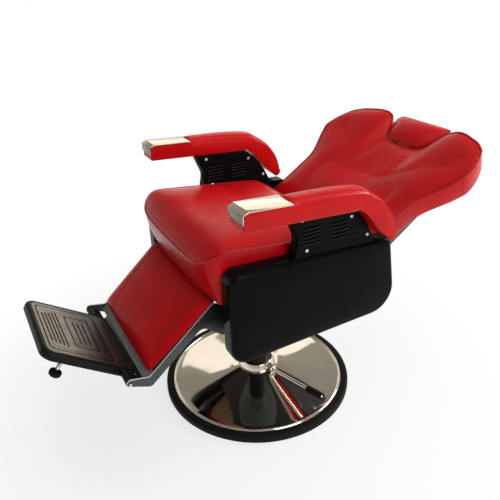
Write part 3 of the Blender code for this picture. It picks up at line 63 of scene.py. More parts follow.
# Frames of the moving groups at rest, as in the solids
LEG_ANGLE = math.radians(40.6)
FOOT_PIVOT = (-0.294, 0.093)
LEVER_PIVOT_RADIUS = 0.073
SEAT = at(0.0, 0.0, 0.348)
BACK = at(0.0, 0.215, 0.470) @ turned(math.radians(30.5), 'X')
LEG = at(0.0, -0.185, 0.435) @ turned(LEG_ANGLE, 'X')
FOOT = LEG @ at(0.0, *FOOT_PIVOT) @ turned(math.radians(-75.1), 'X')
LEVER = turned(math.radians(10.6), 'Z') @ at(LEVER_PIVOT_RADIUS, 0.0, 0.0718)
RELEASE = at(0.0, -0.050, 0.448)
# A plate drawn flat in XY is stood on edge: its X runs along +Y, its Y along +Z, its thickness along X
ON_EDGE = Matrix(((0, 0, 1, 0), (1, 0, 0, 0), (0, 1, 0, 0), (0, 0, 0, 1)))
# Bores for the pump lever's pin and the release lever's shaft
LEVER_BORE = 0.0045
RELEASE_BORE = 0.0085

# Seat, covers, panels and arms, in the seat's frame
SEAT_HALF = 0.2405
SEAT_FRONT = -0.272
SEAT_REAR = 0.150
SEAT_BASE = 0.142
COVER_FRONT, COVER_FRONT_TOP = -0.226, 0.246
COVER_REAR, COVER_REAR_TOP = 0.262, 0.2235
COVER_INNER = 0.247
COVER_OUTER = 0.298
COVER_WALL = 0.003
COVER_ROUND = 0.013
COVER_CROWN = 0.004
PANEL_INNER = 0.256
PANEL_THICKNESS = 0.0117
PANEL_FRONT = -0.044
PANEL_REAR = 0.207
LOUVRE_COUNT = 5
LOUVRE_LENGTH = 0.050
LOUVRE_HEIGHT = 0.0035
LOUVRE_PITCH = 0.0105
FRAME_INNER = PANEL_INNER + PANEL_THICKNESS + GAP
FRAME_OUTER = FRAME_INNER + 0.006
PANEL_OUTER = FRAME_OUTER + GAP + PANEL_THICKNESS
ARM_FRONT, ARM_FRONT_UNDER = -0.2035, 0.3675
ARM_BEND, ARM_BEND_UNDER = 0.122, 0.3455
ARM_WIDTH = 0.072
ARM_DEPTH = 0.0482
ARM_MIDDLE = COVER_INNER + 0.0075 + ARM_WIDTH / 2
ARM_CAP_STATIONS = 4
# Rear drop of the armrest: way back, share of the fall, and the outer side's way out and up from there
ARM_DROP = ((0.0, 0.0, 0.038, 0.0325), (0.028, 0.192, 0.055, 0.0234), (0.062, 0.561, 0.054, 0.0205),
            (0.112, 0.925, 0.018, 0.0150))
# Armrest between cap and drop: share of the way back, and how far the top leans back and lifts there
ARM_RUN = ((0.2245, 0.0, 0.0030), (0.6327, 0.012, 0.0029), (0.8673, 0.038, -0.0035))
CAP_REAR = -0.074
CAP_THICKNESS = 0.0025
CAP_CHAMFER = 0.012
CAP_LIP = 0.029

# Back, leg rest and footrest, each in its own frame
BACK_BOTTOM = 0.036
BACK_THICKNESS = 0.0724
BACK_SIDE_POINTS = [(0.000, 0.2405), (0.123, 0.2445), (0.170, 0.2475), (0.208, 0.2505), (0.240, 0.2605),
                    (0.270, 0.2775), (0.316, 0.3040), (0.370, 0.3225), (0.420, 0.3240), (0.520, 0.3240)]
BACK_TOP_POINTS = [(0.00, 0.405), (0.20, 0.408), (0.29, 0.430), (0.37, 0.486), (0.44, 0.500), (0.575, 0.499),
                   (0.66, 0.490), (0.80, 0.471), (0.91, 0.435), (0.96, 0.397), (1.00, 0.350)]
BOARD_THICKNESS = 0.012
HEAD_BOTTOM = 0.4105
HEAD_TOP = 0.5165
HEAD_REAR = -0.0135
RAIL_OUTER = 0.200
RAIL_INNER = 0.195
RAIL_FRONT = 0.061
RAIL_THICKNESS = 0.005
RAIL_BEND = -0.254
LEG_PIVOT_BORE = 0.0085
FOOT_PIVOT_BORE = 0.0043
RECLINE_TRAVEL = math.radians(34.0)
CRANK_LENGTH = 0.055
BACK_ARM_OUTER = 0.211
SLIDE_CLEARANCE = 0.0006
LINK_THICKNESS = 0.005
LEG_TOP = -0.010
LEG_BOTTOM = -0.248
LEG_TOP_HALF = 0.201
LEG_BOTTOM_HALF = 0.1925
FOOT_TOP = 0.0088
FOOT_FRONT, FOOT_FRONT_HALF, FOOT_FRONT_ROUND = -0.214, 0.1375, 0.032
FOOT_REAR, FOOT_REAR_HALF, FOOT_REAR_ROUND = 0.037, 0.147, 0.012
FOOT_DEPTH = 0.022
FOOT_WALL = 0.003
TREAD_THICKNESS = 0.0016
TREAD_INSET = 0.0132
HINGE_BORE = 0.0047
BUMPER_SIDE, BUMPER_FORWARD = 0.100, -0.147


def mix(low, high, share):
    return low + (high - low) * share


def smooth_line(points):
    """Smooth function through (place, value) points, level at its start and beyond its ends."""
    places = [p[0] for p in points]
    values = [p[1] for p in points]
    slopes = [0.0]
    for k in range(1, len(points) - 1):
        before = (values[k] - values[k - 1]) / (places[k] - places[k - 1])
        after = (values[k + 1] - values[k]) / (places[k + 1] - places[k])
        share = (places[k] - places[k - 1]) / (places[k + 1] - places[k - 1])
        slopes.append(mix(before, after, share))
    slopes.append((values[-1] - values[-2]) / (places[-1] - places[-2]))

    def value(place):
        if place <= places[0]:
            return values[0]
        for k in range(len(points) - 1):
            if place <= places[k + 1]:
                run = places[k + 1] - places[k]
                t = (place - places[k]) / run
                return ((1 + 2 * t) * (1 - t) ** 2 * values[k] + t * (1 - t) ** 2 * run * slopes[k]
                        + t * t * (3 - 2 * t) * values[k + 1] + t * t * (t - 1) * run * slopes[k + 1])
        return values[-1]

    return value


def spread(low, high, count):
    return [low + (high - low) * i / count for i in range(count + 1)]


def eased(count):
    """Places from -1 to 1 that lie closer together near both ends."""
    return [0.5 * t + 0.5 * math.sin(QUARTER * t) for t in spread(-1.0, 1.0, count)]


def eased_share(count):
    """Places from 0 to 1 that lie closer together near both ends."""
    return [(t + 1) / 2 for t in eased(count)]


def rounded(corners, steps=6):
    """Outline through corners (a, b, radius), with an arc in place of each corner that has a radius."""
    outline = []
    for index, (a, b, radius) in enumerate(corners):
        corner = Vector((a, b))
        if radius <= 0.0:
            outline.append((a, b))
            continue
        before = Vector(corners[index - 1][:2]) - corner
        after = Vector(corners[(index + 1) % len(corners)][:2]) - corner
        half = before.angle(after) / 2
        reach = min(radius / math.tan(half), 0.48 * before.length, 0.48 * after.length)
        middle = corner + (before.normalized() + after.normalized()).normalized() * reach / math.cos(half)
        start = corner + before.normalized() * reach - middle
        end = corner + after.normalized() * reach - middle
        turn = start.angle_signed(end)
        for step in range(steps + 1):
            outline.append(tuple(middle + Matrix.Rotation(-turn * step / steps, 2) @ start))
    return outline


def trapezoid(low, high, steps=6):
    """Outline that is even on both sides, between a low and a high edge of (half width, place, radius)."""
    (half, place, radius), (high_half, high_place, high_radius) = low, high
    return rounded([(-half, place, radius), (half, place, radius), (high_half, high_place, high_radius),
                    (-high_half, high_place, high_radius)], steps)


def rectangle(a0, b0, a1, b1, radius, steps=6):
    return rounded([(a0, b0, radius), (a1, b0, radius), (a1, b1, radius), (a0, b1, radius)], steps)


def capsule(a, b, length, height, steps=5):
    """Outline of a slot with round ends, along the first direction."""
    return rectangle(a - length / 2, b - height / 2, a + length / 2, b + height / 2, 0.49 * height, steps)


def circle(a, b, radius, steps=32):
    turns = [2 * math.pi * i / steps for i in range(steps)]
    return [(a + radius * math.cos(turn), b + radius * math.sin(turn)) for turn in turns]


def measured(points, closed=False):
    """Points as an array, and the length of the line up to each of them."""
    array = np.array([tuple(p) for p in points])
    if closed:
        array = np.concatenate((array, array[:1]))
    return array, np.concatenate(([0.0], np.cumsum(np.linalg.norm(np.diff(array, axis=0), axis=1))))


def spots_at(array, lengths, marks):
    return np.stack([np.interp(marks, lengths, column) for column in array.T], axis=1)


def evenly(points, count, closed=False):
    """Evenly spaced points on the straight pieces between the given ones."""
    array, lengths = measured(points, closed)
    even = spots_at(array, lengths, np.linspace(0.0, lengths[-1], count + 1 if closed else count))
    return even[:-1] if closed else even


def bend(p0, p1, p2, p3, t):
    """Point at a share t between p1 and p2 on a smooth line through four points."""
    return 0.5 * (2 * p1 + (p2 - p0) * t + (2 * p0 - 5 * p1 + 4 * p2 - p3) * t ** 2
                  + (3 * p1 - p0 - 3 * p2 + p3) * t ** 3)


def curved(points, count):
    """Evenly spaced points on a smooth open line through the given ones."""
    line = [Vector(p) for p in points]
    line = [2 * line[0] - line[1], *line, 2 * line[-1] - line[-2]]
    fours = zip(line, line[1:], line[2:], line[3:])
    fine = [bend(*four, t) for four in fours for t in spread(0.0, 1.0, 16)[:-1]]
    return evenly([*fine, line[-2]], count)


BACK_SIDE = smooth_line(BACK_SIDE_POINTS)
BACK_TOP = smooth_line(BACK_TOP_POINTS)
HEAD_HALF = smooth_line([(HEAD_BOTTOM, 0.060), (0.418, 0.0715), (0.430, 0.0830), (0.450, 0.0945),
                         (0.475, 0.1045), (0.497, 0.1115), (HEAD_TOP, 0.1090)])
ARM_HALF = smooth_line([(0.0, 0.930), (0.12, 0.975), (0.45, 1.000), (0.80, 0.985), (0.93, 0.955),
                        (1.0, 0.915)])


def cover_top(y):
    return mix(COVER_FRONT_TOP, COVER_REAR_TOP, (y - COVER_FRONT) / (COVER_REAR - COVER_FRONT))


def arm_under(y):
    return mix(ARM_FRONT_UNDER, ARM_BEND_UNDER, (y - ARM_FRONT) / (ARM_BEND - ARM_FRONT))


def cap_line(y):
    return arm_under(y) + ARM_DEPTH


def arm_inside(gap):
    """Inner side of the armrest's rear drop, from the top down, set in towards the panel by a gap."""
    high = arm_under(ARM_BEND)
    fall = high - cover_top(PANEL_REAR)
    return [(ARM_BEND + back - gap, high - share * fall - gap / 2) for back, share, _, _ in ARM_DROP]


# Materials


class Nodes:
    """Adds nodes to a shader tree; each input is given as a plain value or as another node's output."""

    def __init__(self, tree):
        self.tree = tree

    def feed(self, socket, value):
        if isinstance(value, bpy.types.NodeSocket):
            self.tree.links.new(value, socket)
        else:
            socket.default_value = value

    def add(self, kind, inputs=(), **values):
        node = self.tree.nodes.new(kind)
        for key, value in values.items():
            setattr(node, key, value)
        for socket, value in dict(inputs).items():
            self.feed(node.inputs[socket], value)
        return node

    def ramp(self, value, stops):
        node = self.add("ShaderNodeValToRGB", {"Fac": value})
        elements = node.color_ramp.elements
        while len(elements) < len(stops):
            elements.new(0.5)
        for element, (position, colour) in zip(elements, stops):
            element.position = position
            element.color = (*colour, 1.0)
        return node.outputs["Color"]

    def math(self, operation, first, second):
        return self.add("ShaderNodeMath", {0: first, 1: second}, operation=operation).outputs["Value"]

    def blend_shaders(self, share, first, second):
        return self.add("ShaderNodeMixShader", {"Fac": share, 1: first, 2: second}).outputs["Shader"]


class Finish(Nodes):
    """A Principled material whose colour, roughness and bump come from textures in the object's own space."""

    def __init__(self, name, metallic=0.0, shine=0.5):
        self.material = bpy.data.materials.new(name)
        self.material.use_nodes = True
        super().__init__(self.material.node_tree)
        self.shader = self.tree.nodes["Principled BSDF"]
        self.shader.inputs["Metallic"].default_value = metallic
        self.shader.inputs["Specular IOR Level"].default_value = shine
        self.place = self.add("ShaderNodeTexCoord").outputs["Object"]
        self.normal = None

    def noise(self, scale, detail=3.0, stretch=None):
        place = self.place
        if stretch:
            place = self.add("ShaderNodeMapping", {"Vector": place, "Scale": stretch}).outputs["Vector"]
        inputs = {"Scale": scale, "Detail": detail, "Vector": place}
        return self.add("ShaderNodeTexNoise", inputs).outputs["Fac"]

    def cells(self, scale):
        inputs = {"Scale": scale, "Vector": self.place}
        return self.add("ShaderNodeTexVoronoi", inputs, feature='DISTANCE_TO_EDGE').outputs["Distance"]

    def blend(self, share, first, second, kind='MIX'):
        inputs = {"Factor": share, "A": first, "B": second}
        return self.add("ShaderNodeMix", inputs, data_type='RGBA', blend_type=kind).outputs["Result"]

    def along_axis(self, axis, low, high):
        """Share from 0 to 1 between two places along an axis of the object's own space."""
        split = self.add("ShaderNodeSeparateXYZ", {"Vector": self.place})
        span = {"Value": split.outputs[axis], "From Min": low, "From Max": high}
        return self.add("ShaderNodeMapRange", span).outputs["Result"]

    def edges(self):
        """Share that is 1 on worn outer edges and 0 elsewhere."""
        geometry = self.add("ShaderNodeNewGeometry")
        return self.ramp(geometry.outputs["Pointiness"], [(0.50, grey(0.0)), (0.56, grey(1.0))])

    def colour(self, output):
        self.feed(self.shader.inputs["Base Color"], output)

    def roughness(self, value, low, high):
        span = {"Value": value, "From Min": 0.3, "From Max": 0.7, "To Min": low, "To Max": high}
        self.feed(self.shader.inputs["Roughness"], self.add("ShaderNodeMapRange", span).outputs["Result"])

    def bump(self, height, distance, strength=1.0):
        inputs = {"Distance": distance, "Strength": strength, "Height": height}
        if self.normal:
            inputs["Normal"] = self.normal
        self.normal = self.add("ShaderNodeBump", inputs).outputs["Normal"]
        self.feed(self.shader.inputs["Normal"], self.normal)


def grey(value):
    return (value, value, value)


def leather(name, dark, light, shine=0.16):
    finish = Finish(name, shine=shine)
    tint = finish.ramp(finish.noise(9.0, 4.0), [(0.30, dark), (0.70, light)])
    pores = finish.cells(900.0)
    shade = finish.ramp(pores, [(0.0, grey(0.97)), (0.25, grey(1.0))])
    share = finish.ramp(pores, [(0.0, grey(1.0)), (0.3, grey(0.4))])
    finish.colour(finish.blend(share, tint, shade, 'MULTIPLY'))
    finish.roughness(finish.noise(26.0, 2.0), 0.26, 0.36)
    finish.bump(finish.noise(24.0, 1.0), 0.0010, 0.25)
    finish.bump(pores, 0.00004, 0.05)
    return finish.material


def plastic(name, colour, edge, low, high, grain, depth, shine):
    finish = Finish(name, shine=shine)
    tint = finish.ramp(finish.noise(14.0, 5.0), [(0.35, colour), (0.75, tuple(1.5 * c for c in colour))])
    worn = finish.ramp(finish.noise(50.0), [(0.3, colour), (0.7, edge)])
    finish.colour(finish.blend(finish.edges(), tint, worn))
    finish.roughness(finish.noise(7.0, 6.0), low, high)
    finish.bump(finish.noise(grain, 2.0), depth, 0.4)
    return finish.material


def metal(name, dark, light, low, high, grain=400.0, stretch=None, depth=0.00002):
    finish = Finish(name, 1.0)
    finish.colour(finish.ramp(finish.noise(6.0, 5.0), [(0.30, dark), (0.70, light)]))
    finish.roughness(finish.noise(15.0, 6.0), low, high)
    finish.bump(finish.noise(grain, 2.0, stretch), depth, 0.3)
    return finish.material


def paint(name, dark, light, edge, low, high, speckle=900.0, depth=0.00015, metallic=0.0, shine=0.5):
    finish = Finish(name, metallic, shine)
    grain = finish.noise(speckle, 2.0)
    tint = finish.ramp(grain, [(0.38, dark), (0.62, light)])
    finish.colour(finish.blend(finish.edges(), tint, finish.ramp(grain, [(0.3, light), (0.7, edge)])))
    finish.roughness(finish.noise(20.0, 5.0), low, high)
    finish.bump(grain, depth, 0.5)
    return finish.material


def plywood(name):
    finish = Finish(name)
    streaks = finish.noise(9.0, 6.0, (14.0, 1.0, 14.0))
    finish.colour(finish.ramp(streaks, [(0.3, (0.30, 0.18, 0.09)), (0.7, (0.52, 0.36, 0.20))]))
    finish.roughness(finish.noise(40.0), 0.55, 0.75)
    finish.bump(streaks, 0.0004, 0.5)
    return finish.material


def rail_paint_and_shade(name):
    """Grey enamel, with painted shade that turns it black where the rail goes under the side covers."""
    finish = Finish(name, 0.2, 0.3)
    grain = finish.noise(500.0, 2.0)
    enamel = finish.ramp(grain, [(0.38, (0.050, 0.060, 0.058)), (0.62, (0.078, 0.090, 0.086))])
    # Painted shade: black for the part of the rail under the side covers.
    black = finish.ramp(grain, [(0.38, grey(0.006)), (0.62, grey(0.012))])
    finish.colour(finish.blend(finish.along_axis("Z", 0.385, 0.425), enamel, black))
    finish.roughness(finish.noise(20.0, 5.0), 0.32, 0.46)
    finish.bump(grain, 0.0001, 0.5)
    return finish.material


def cast_metal(name):
    """Footrest top: bronze-grey casting, with painted shade that darkens it towards its hinge."""
    finish = Finish(name, 0.75)
    grain = finish.noise(220.0, 4.0)
    bronze = finish.ramp(grain, [(0.35, (0.23, 0.20, 0.16)), (0.65, (0.36, 0.32, 0.26))])
    # Painted shade: a near-black copy of the casting's colour, blended in towards the hinge.
    dark = finish.ramp(grain, [(0.35, (0.030, 0.028, 0.024)), (0.65, (0.07, 0.065, 0.055))])
    share = finish.ramp(finish.along_axis("Y", -0.62, -0.47), [(0.30, grey(0.0)), (0.80, grey(1.0))])
    finish.colour(finish.blend(share, bronze, dark))
    finish.roughness(finish.noise(40.0, 5.0), 0.34, 0.5)
    finish.bump(finish.noise(500.0, 3.0), 0.0003, 0.4)
    return finish.material


RED_DARK, RED_LIGHT = (0.46, 0.0030, 0.0045), (0.58, 0.0060, 0.0080)
RED = leather("red_leather", RED_DARK, RED_LIGHT)
LEG_RED = leather("leg_red_leather", RED_DARK, RED_LIGHT, 0.08)
# Darker copy of the leather for the piping: painted shade along the seams.
RED_PIPING_PAINTED_SHADE = leather("red_piping_painted_shade", (0.36, 0.0040, 0.0050), (0.46, 0.0080, 0.0095))
SEAT_PIPING = leather("seat_piping", (0.42, 0.0040, 0.0050), (0.52, 0.0080, 0.0095), 0.45)
# Dark red for the stitches' thread, and for the dark tubes that paint shade along the seams.
RED_THREAD_AND_SEAM_SHADE = leather("red_thread_and_seam_shade", (0.22, 0.0025, 0.0030), (0.30, 0.0040, 0.0050))
GLOSS_BLACK = plastic("gloss_black", grey(0.0026), grey(0.008), 0.08, 0.15, 30.0, 0.0002, 0.05)
SATIN_BLACK = plastic("satin_black", grey(0.0026), grey(0.005), 0.38, 0.52, 1400.0, 0.0001, 0.045)
# Lighter black for the louvre lips than for their panel: painted highlight along the slots' edges.
HIGHLIGHT_LIP_BLACK = plastic("lip_black_painted_highlight", grey(0.007), grey(0.014), 0.34, 0.46, 900.0, 0.0001, 0.18)
BOARD_BLACK = plastic("board_black", grey(0.010), grey(0.04), 0.50, 0.66, 700.0, 0.0004, 0.20)
FRAME_BLACK = paint("frame_black", grey(0.004), grey(0.010), grey(0.03), 0.40, 0.55, shine=0.16)
RUBBER = plastic("black_rubber", grey(0.0045), grey(0.009), 0.50, 0.66, 420.0, 0.0003, 0.10)
CHROME = metal("chrome", (0.68, 0.64, 0.57), (0.80, 0.76, 0.69), 0.03, 0.09)
CAP_CHROME = metal("cap_chrome", (0.72, 0.63, 0.53), (0.80, 0.71, 0.61), 0.06, 0.14)
# Darker copy of the cap chrome for the caps' front faces: painted shade.
PAINTED_SHADE_CHROME = metal("painted_shade_chrome", (0.13, 0.105, 0.085), (0.19, 0.16, 0.13), 0.10, 0.22)
STEEL = metal("bright_steel", grey(0.50), (0.68, 0.68, 0.67), 0.18, 0.34, 260.0, (1.0, 8.0, 1.0), 0.0001)
RAIL_GREY = paint("rail_grey", (0.040, 0.047, 0.045), (0.066, 0.075, 0.071), grey(0.20), 0.34, 0.48,
                  500.0, 0.0001, 0.3)
SPECKLED = paint("speckled_grey", (0.100, 0.122, 0.116), (0.25, 0.28, 0.265), grey(0.32), 0.40, 0.55,
                 420.0, 0.0003, 0.2)
# Grey rail enamel, with painted shade where the rail goes under the covers.
RAIL_ENAMEL_AND_SHADE = rail_paint_and_shade("rail_enamel_and_shade")
# Pale grey paint for the rails' front edges: painted highlight of the light those edges catch.
PAINTED_HIGHLIGHT_EDGE = paint("painted_highlight_edge", grey(0.70), grey(0.84), grey(0.86), 0.30, 0.44, 500.0, 0.0001, 0.2)
CAST = cast_metal("cast_bronze_grey_painted_shade")
CAST_BLACK = paint("cast_black", grey(0.004), grey(0.008), (0.014, 0.013, 0.011), 0.30, 0.44,
                   380.0, 0.0001, shine=0.10)
PLYWOOD = plywood("plywood")


# Mesh building


def add_piece(name, points, faces, material, angle=38.0):
    mesh = bpy.data.meshes.new(name)
    mesh.from_pydata([tuple(p) for p in points], [], faces)
    build = bmesh.new()
    build.from_mesh(mesh)
    bmesh.ops.recalc_face_normals(build, faces=build.faces)
    build.to_mesh(mesh)
    build.free()
    mesh.shade_smooth()
    mesh.set_sharp_from_angle(angle=math.radians(angle))
    mesh.materials.append(material)
    piece = bpy.data.objects.new(name, mesh)
    SCENE.collection.objects.link(piece)
    return piece


def wear(piece, body, slot, *nodes):
    """The piece rides on a body, takes a finish slot, and stands for CAD nodes."""
    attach(piece, body)
    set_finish(piece, slot)
    if nodes:
        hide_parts(*nodes)
    return piece


def carry(parent, *pieces):
    """Pieces that ride with another piece."""
    for piece in pieces:
        piece.parent = parent
        piece.matrix_parent_inverse = parent.matrix_world.inverted()
        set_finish(piece, parent["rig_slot"])


def numbered(rings, count):
    """Point numbers of rings that have the same count of points."""
    return [range(ring * count, (ring + 1) * count) for ring in range(rings)]


def strips(rings):
    """Faces between closed rings of point numbers that follow each other."""
    return [(low[k - 1], low[k], high[k], high[k - 1]) for low, high in zip(rings, rings[1:])
            for k in range(len(low))]


def lathe(name, profile, material, place=Matrix(), steps=96, closed=False, shape=None):
    """Piece turned about Z from a profile of (radius, height); shape(ring, turn) may scale a radius."""
    points = []
    faces = []
    rings = []
    for index, (radius, height) in enumerate(profile):
        count = steps if radius > 1e-6 else 1
        rings.append(range(len(points), len(points) + count))
        for k in range(count):
            turn = 2 * math.pi * k / steps
            reach = radius * (shape(index, turn) if shape else 1.0)
            points.append(place @ Vector((reach * math.cos(turn), reach * math.sin(turn), height)))
    pairs = list(zip(rings, rings[1:]))
    if closed:
        pairs.append((rings[-1], rings[0]))
    for upper, lower in pairs:
        for k in range(steps):
            corners = (upper[k % len(upper)], lower[k % len(lower)],
                       lower[(k + 1) % len(lower)], upper[(k + 1) % len(upper)])
            face = tuple(dict.fromkeys(corners))
            if len(face) > 2:
                faces.append(face)
    return add_piece(name, points, faces, material)


def area(loop):
    return sum(a0 * b1 - a1 * b0 for (a0, b0), (a1, b1) in zip(loop, [*loop[1:], loop[0]])) / 2


def evaluated_mesh(piece):
    return bpy.data.meshes.new_from_object(piece.evaluated_get(bpy.context.evaluated_depsgraph_get()))


def plate(name, outline, thickness, material, place, edge=0.0008, holes=()):
    """Flat plate in XY with rounded edges, centred on its thickness."""
    curve = bpy.data.curves.new(name, 'CURVE')
    curve.dimensions = '2D'
    curve.fill_mode = 'BOTH'
    curve.extrude = thickness / 2 - edge
    curve.bevel_depth = edge
    curve.bevel_resolution = 2
    curve.offset = -edge
    for index, loop in enumerate((outline, *holes)):
        if (area(loop) > 0) == (index > 0):
            loop = list(reversed(loop))
        spline = curve.splines.new('POLY')
        spline.points.add(len(loop) - 1)
        spline.use_cyclic_u = True
        for point, (a, b) in zip(spline.points, loop):
            point.co = (a, b, 0.0, 1.0)
    holder = bpy.data.objects.new(name, curve)
    SCENE.collection.objects.link(holder)
    mesh = evaluated_mesh(holder)
    bpy.data.objects.remove(holder)
    bpy.data.curves.remove(curve)
    build = bmesh.new()
    build.from_mesh(mesh)
    bpy.data.meshes.remove(mesh)
    bmesh.ops.remove_doubles(build, verts=build.verts, dist=0.00001)
    build.verts.ensure_lookup_table()
    points = [place @ v.co for v in build.verts]
    faces = [tuple(v.index for v in face.verts) for face in build.faces]
    build.free()
    return add_piece(name, points, faces, material)


def tube_mesh(path, radius, closed=False, sides=8, aim=UP, straight=False):
    """Points and faces of a round tube along a path; radius may be one number or one for each point.

    The rings of a straight tube are all square to the line between its ends.
    """
    path = np.array([tuple(p) for p in path])
    count = len(path)
    radii = np.full(count, radius) if np.isscalar(radius) else np.array(radius)
    ahead = np.roll(path, -1, axis=0)
    behind = np.roll(path, 1, axis=0)
    if not closed:
        ahead[-1] = path[-1]
        behind[0] = path[0]
    tangents = ahead - behind
    if straight:
        tangents[:] = path[-1] - path[0]
    tangents /= np.linalg.norm(tangents, axis=1)[:, None]
    side = np.cross(tangents[0], aim)
    if np.linalg.norm(side) < 0.1:
        side = np.cross(tangents[0], (1.0, 0.0, 0.0))
    turns = [2 * math.pi * k / sides for k in range(sides)]
    points = []
    for spot, tangent, reach in zip(path, tangents, radii):
        side = side - tangent * (side @ tangent)
        side /= np.linalg.norm(side)
        other = np.cross(tangent, side)
        points += [spot + reach * (math.cos(t) * side + math.sin(t) * other) for t in turns]
    shift = 0
    if closed:
        first = np.array(points[:sides])
        last = np.array(points[-sides:]) + path[0] - path[-1]
        shift = int(np.argmin([np.linalg.norm(np.roll(first, -k, axis=0) - last) for k in range(sides)]))
    faces = []
    for ring in range(count if closed else count - 1):
        skip = shift if ring == count - 1 else 0
        following = (ring + 1) % count
        for k in range(sides):
            faces.append((ring * sides + k, ring * sides + (k + 1) % sides,
                          following * sides + (k + 1 + skip) % sides, following * sides + (k + skip) % sides))
    if not closed:
        faces.append(tuple(range(sides)))
        faces.append(tuple((count - 1) * sides + k for k in range(sides)))
    return points, faces


def tube(name, path, radius, material, closed=False, sides=8):
    return add_piece(name, *tube_mesh(path, radius, closed, sides), material, 60.0)


def tubes(name, paths, radius, material, sides=8, aim=UP, straight=False):
    """Several open tubes in one piece."""
    points = []
    faces = []
    for path in paths:
        more, links = tube_mesh(path, radius, False, sides, aim, straight)
        faces += [tuple(len(points) + k for k in face) for face in links]
        points += more
    return add_piece(name, points, faces, material, 60.0)


def lay_on(piece, spots, direction, lift):
    """Places where lines from the given spots along a direction meet a piece, lifted off it."""
    bpy.context.view_layer.update()
    tree = BVHTree.FromObject(piece, bpy.context.evaluated_depsgraph_get())
    direction = Vector(direction).normalized()
    inverse = piece.matrix_world.inverted()
    laid = []
    for spot in spots:
        hit, normal, _, _ = tree.ray_cast(inverse @ Vector(spot) - direction * 0.2, direction)
        if hit:
            laid.append((piece.matrix_world @ hit) + normal * lift)
    return laid


def stitches(name, path):
    """Row of short thread stitches along a closed path."""
    radius, length, gap = 0.0006, 0.0042, 0.0022
    array, lengths = measured(path, True)
    starts = np.arange(0.0, lengths[-1] - length, length + gap)
    rows = [spots_at(array, lengths, start + length * np.array((0.0, 0.2, 0.8, 1.0))) for start in starts]
    radii = radius * np.array((0.35, 1.0, 1.0, 0.35))
    return tubes(name, rows, radii, RED_THREAD_AND_SEAM_SHADE, 5, (0.31, 0.22, 0.93), True)


def cut(piece, tool):
    """Takes the shape of a closed tool out of a piece, and removes the tool."""
    change = piece.modifiers.new("cut", 'BOOLEAN')
    change.object = tool
    change.operation = 'DIFFERENCE'
    mesh = evaluated_mesh(piece)
    piece.modifiers.clear()
    piece.data = mesh
    bpy.data.objects.remove(tool)


def block(size, place):
    """Box for cutting."""
    corners = [Vector((x * size[0], y * size[1], z * size[2])) / 2
               for x in (-1, 1) for y in (-1, 1) for z in (-1, 1)]
    sides = [(0, 1, 3, 2), (4, 6, 7, 5), (0, 4, 5, 1), (2, 3, 7, 6), (0, 2, 6, 4), (1, 5, 7, 3)]
    return add_piece("cutter", [place @ corner for corner in corners], sides, SATIN_BLACK)


def drill(piece, radius, reach, place):
    """Makes a round hole along Z of a place, as far as a reach on both sides."""
    bore = [(0.0, -reach), (radius, -reach), (radius, reach), (0.0, reach)]
    cut(piece, lathe("cutter", bore, SATIN_BLACK, place, 32))


def second_finish(piece, material, direction, least):
    """Gives another material to the faces that look in a direction."""
    piece.data.materials.append(material)
    for face in piece.data.polygons:
        if face.normal.dot(direction) > least:
            face.material_index = 1


# Upholstery


class Cushion:
    """Closed cushion from place(u, v, level): a top sheet, a side wall and a bottom sheet."""

    def __init__(self, name, place, across, along, levels):
        self.place = place
        self.across = across
        self.along = along
        columns = len(across)
        rows = len(along)
        rim = [(i, 0) for i in range(columns)]
        rim += [(columns - 1, j) for j in range(1, rows)]
        rim += [(i, rows - 1) for i in reversed(range(columns - 1))]
        rim += [(0, j) for j in reversed(range(1, rows - 1))]
        points = [place(u, v, levels[-1]) for v in along for u in across]
        self.bottom = len(points)
        points += [place(u, v, levels[0]) for v in along for u in across]
        faces = []
        for j in range(rows - 1):
            for i in range(columns - 1):
                corner = j * columns + i
                face = (corner, corner + 1, corner + columns + 1, corner + columns)
                faces.append(face)
                faces.append(tuple(self.bottom + k for k in reversed(face)))
        self.rings = [[self.bottom + j * columns + i for i, j in rim]]
        for level in levels[1:-1]:
            self.rings.append(list(range(len(points), len(points) + len(rim))))
            points += [place(across[i], along[j], level) for i, j in rim]
        self.rings.append([j * columns + i for i, j in rim])
        faces += strips(self.rings)
        self.rest = np.array([tuple(p) for p in points])
        self.piece = add_piece(name, points, faces, RED, 180.0)
        self.held = set(self.rings[-1]) | set(self.rings[0]) | set(range(self.bottom, 2 * self.bottom))

    def rim_path(self, count):
        """Evenly spaced points along the cushion's upper seam."""
        return evenly([self.rest[k] for k in self.rings[-1]], count, True)

    def inner_path(self, inset, count):
        """Evenly spaced points on the top sheet's plan, a share of the half width inside the seam."""
        columns = len(self.across)
        spots = []
        for index in self.rings[-1]:
            u, v = self.across[index % columns], self.along[index // columns]
            spots.append(self.place(u * (1 - inset), 0.5 + (v - 0.5) * (1 - inset), 1.0))
        return evenly(spots, count, True)

    def hold_near(self, path, reach):
        """Holds the points of the top sheet that lie near a sewn line."""
        spots = np.array([tuple(p) for p in path])
        for index in range(self.bottom):
            if np.linalg.norm(spots - self.rest[index], axis=1).min() < reach:
                self.held.add(index)


CLOTH = {"quality": 4, "mass": 0.3, "tension_stiffness": 20.0, "compression_stiffness": 20.0,
         "shear_stiffness": 8.0, "bending_stiffness": 4.0, "use_pressure": True, "vertex_group_mass": "held"}
SWELL_FRAMES = 20


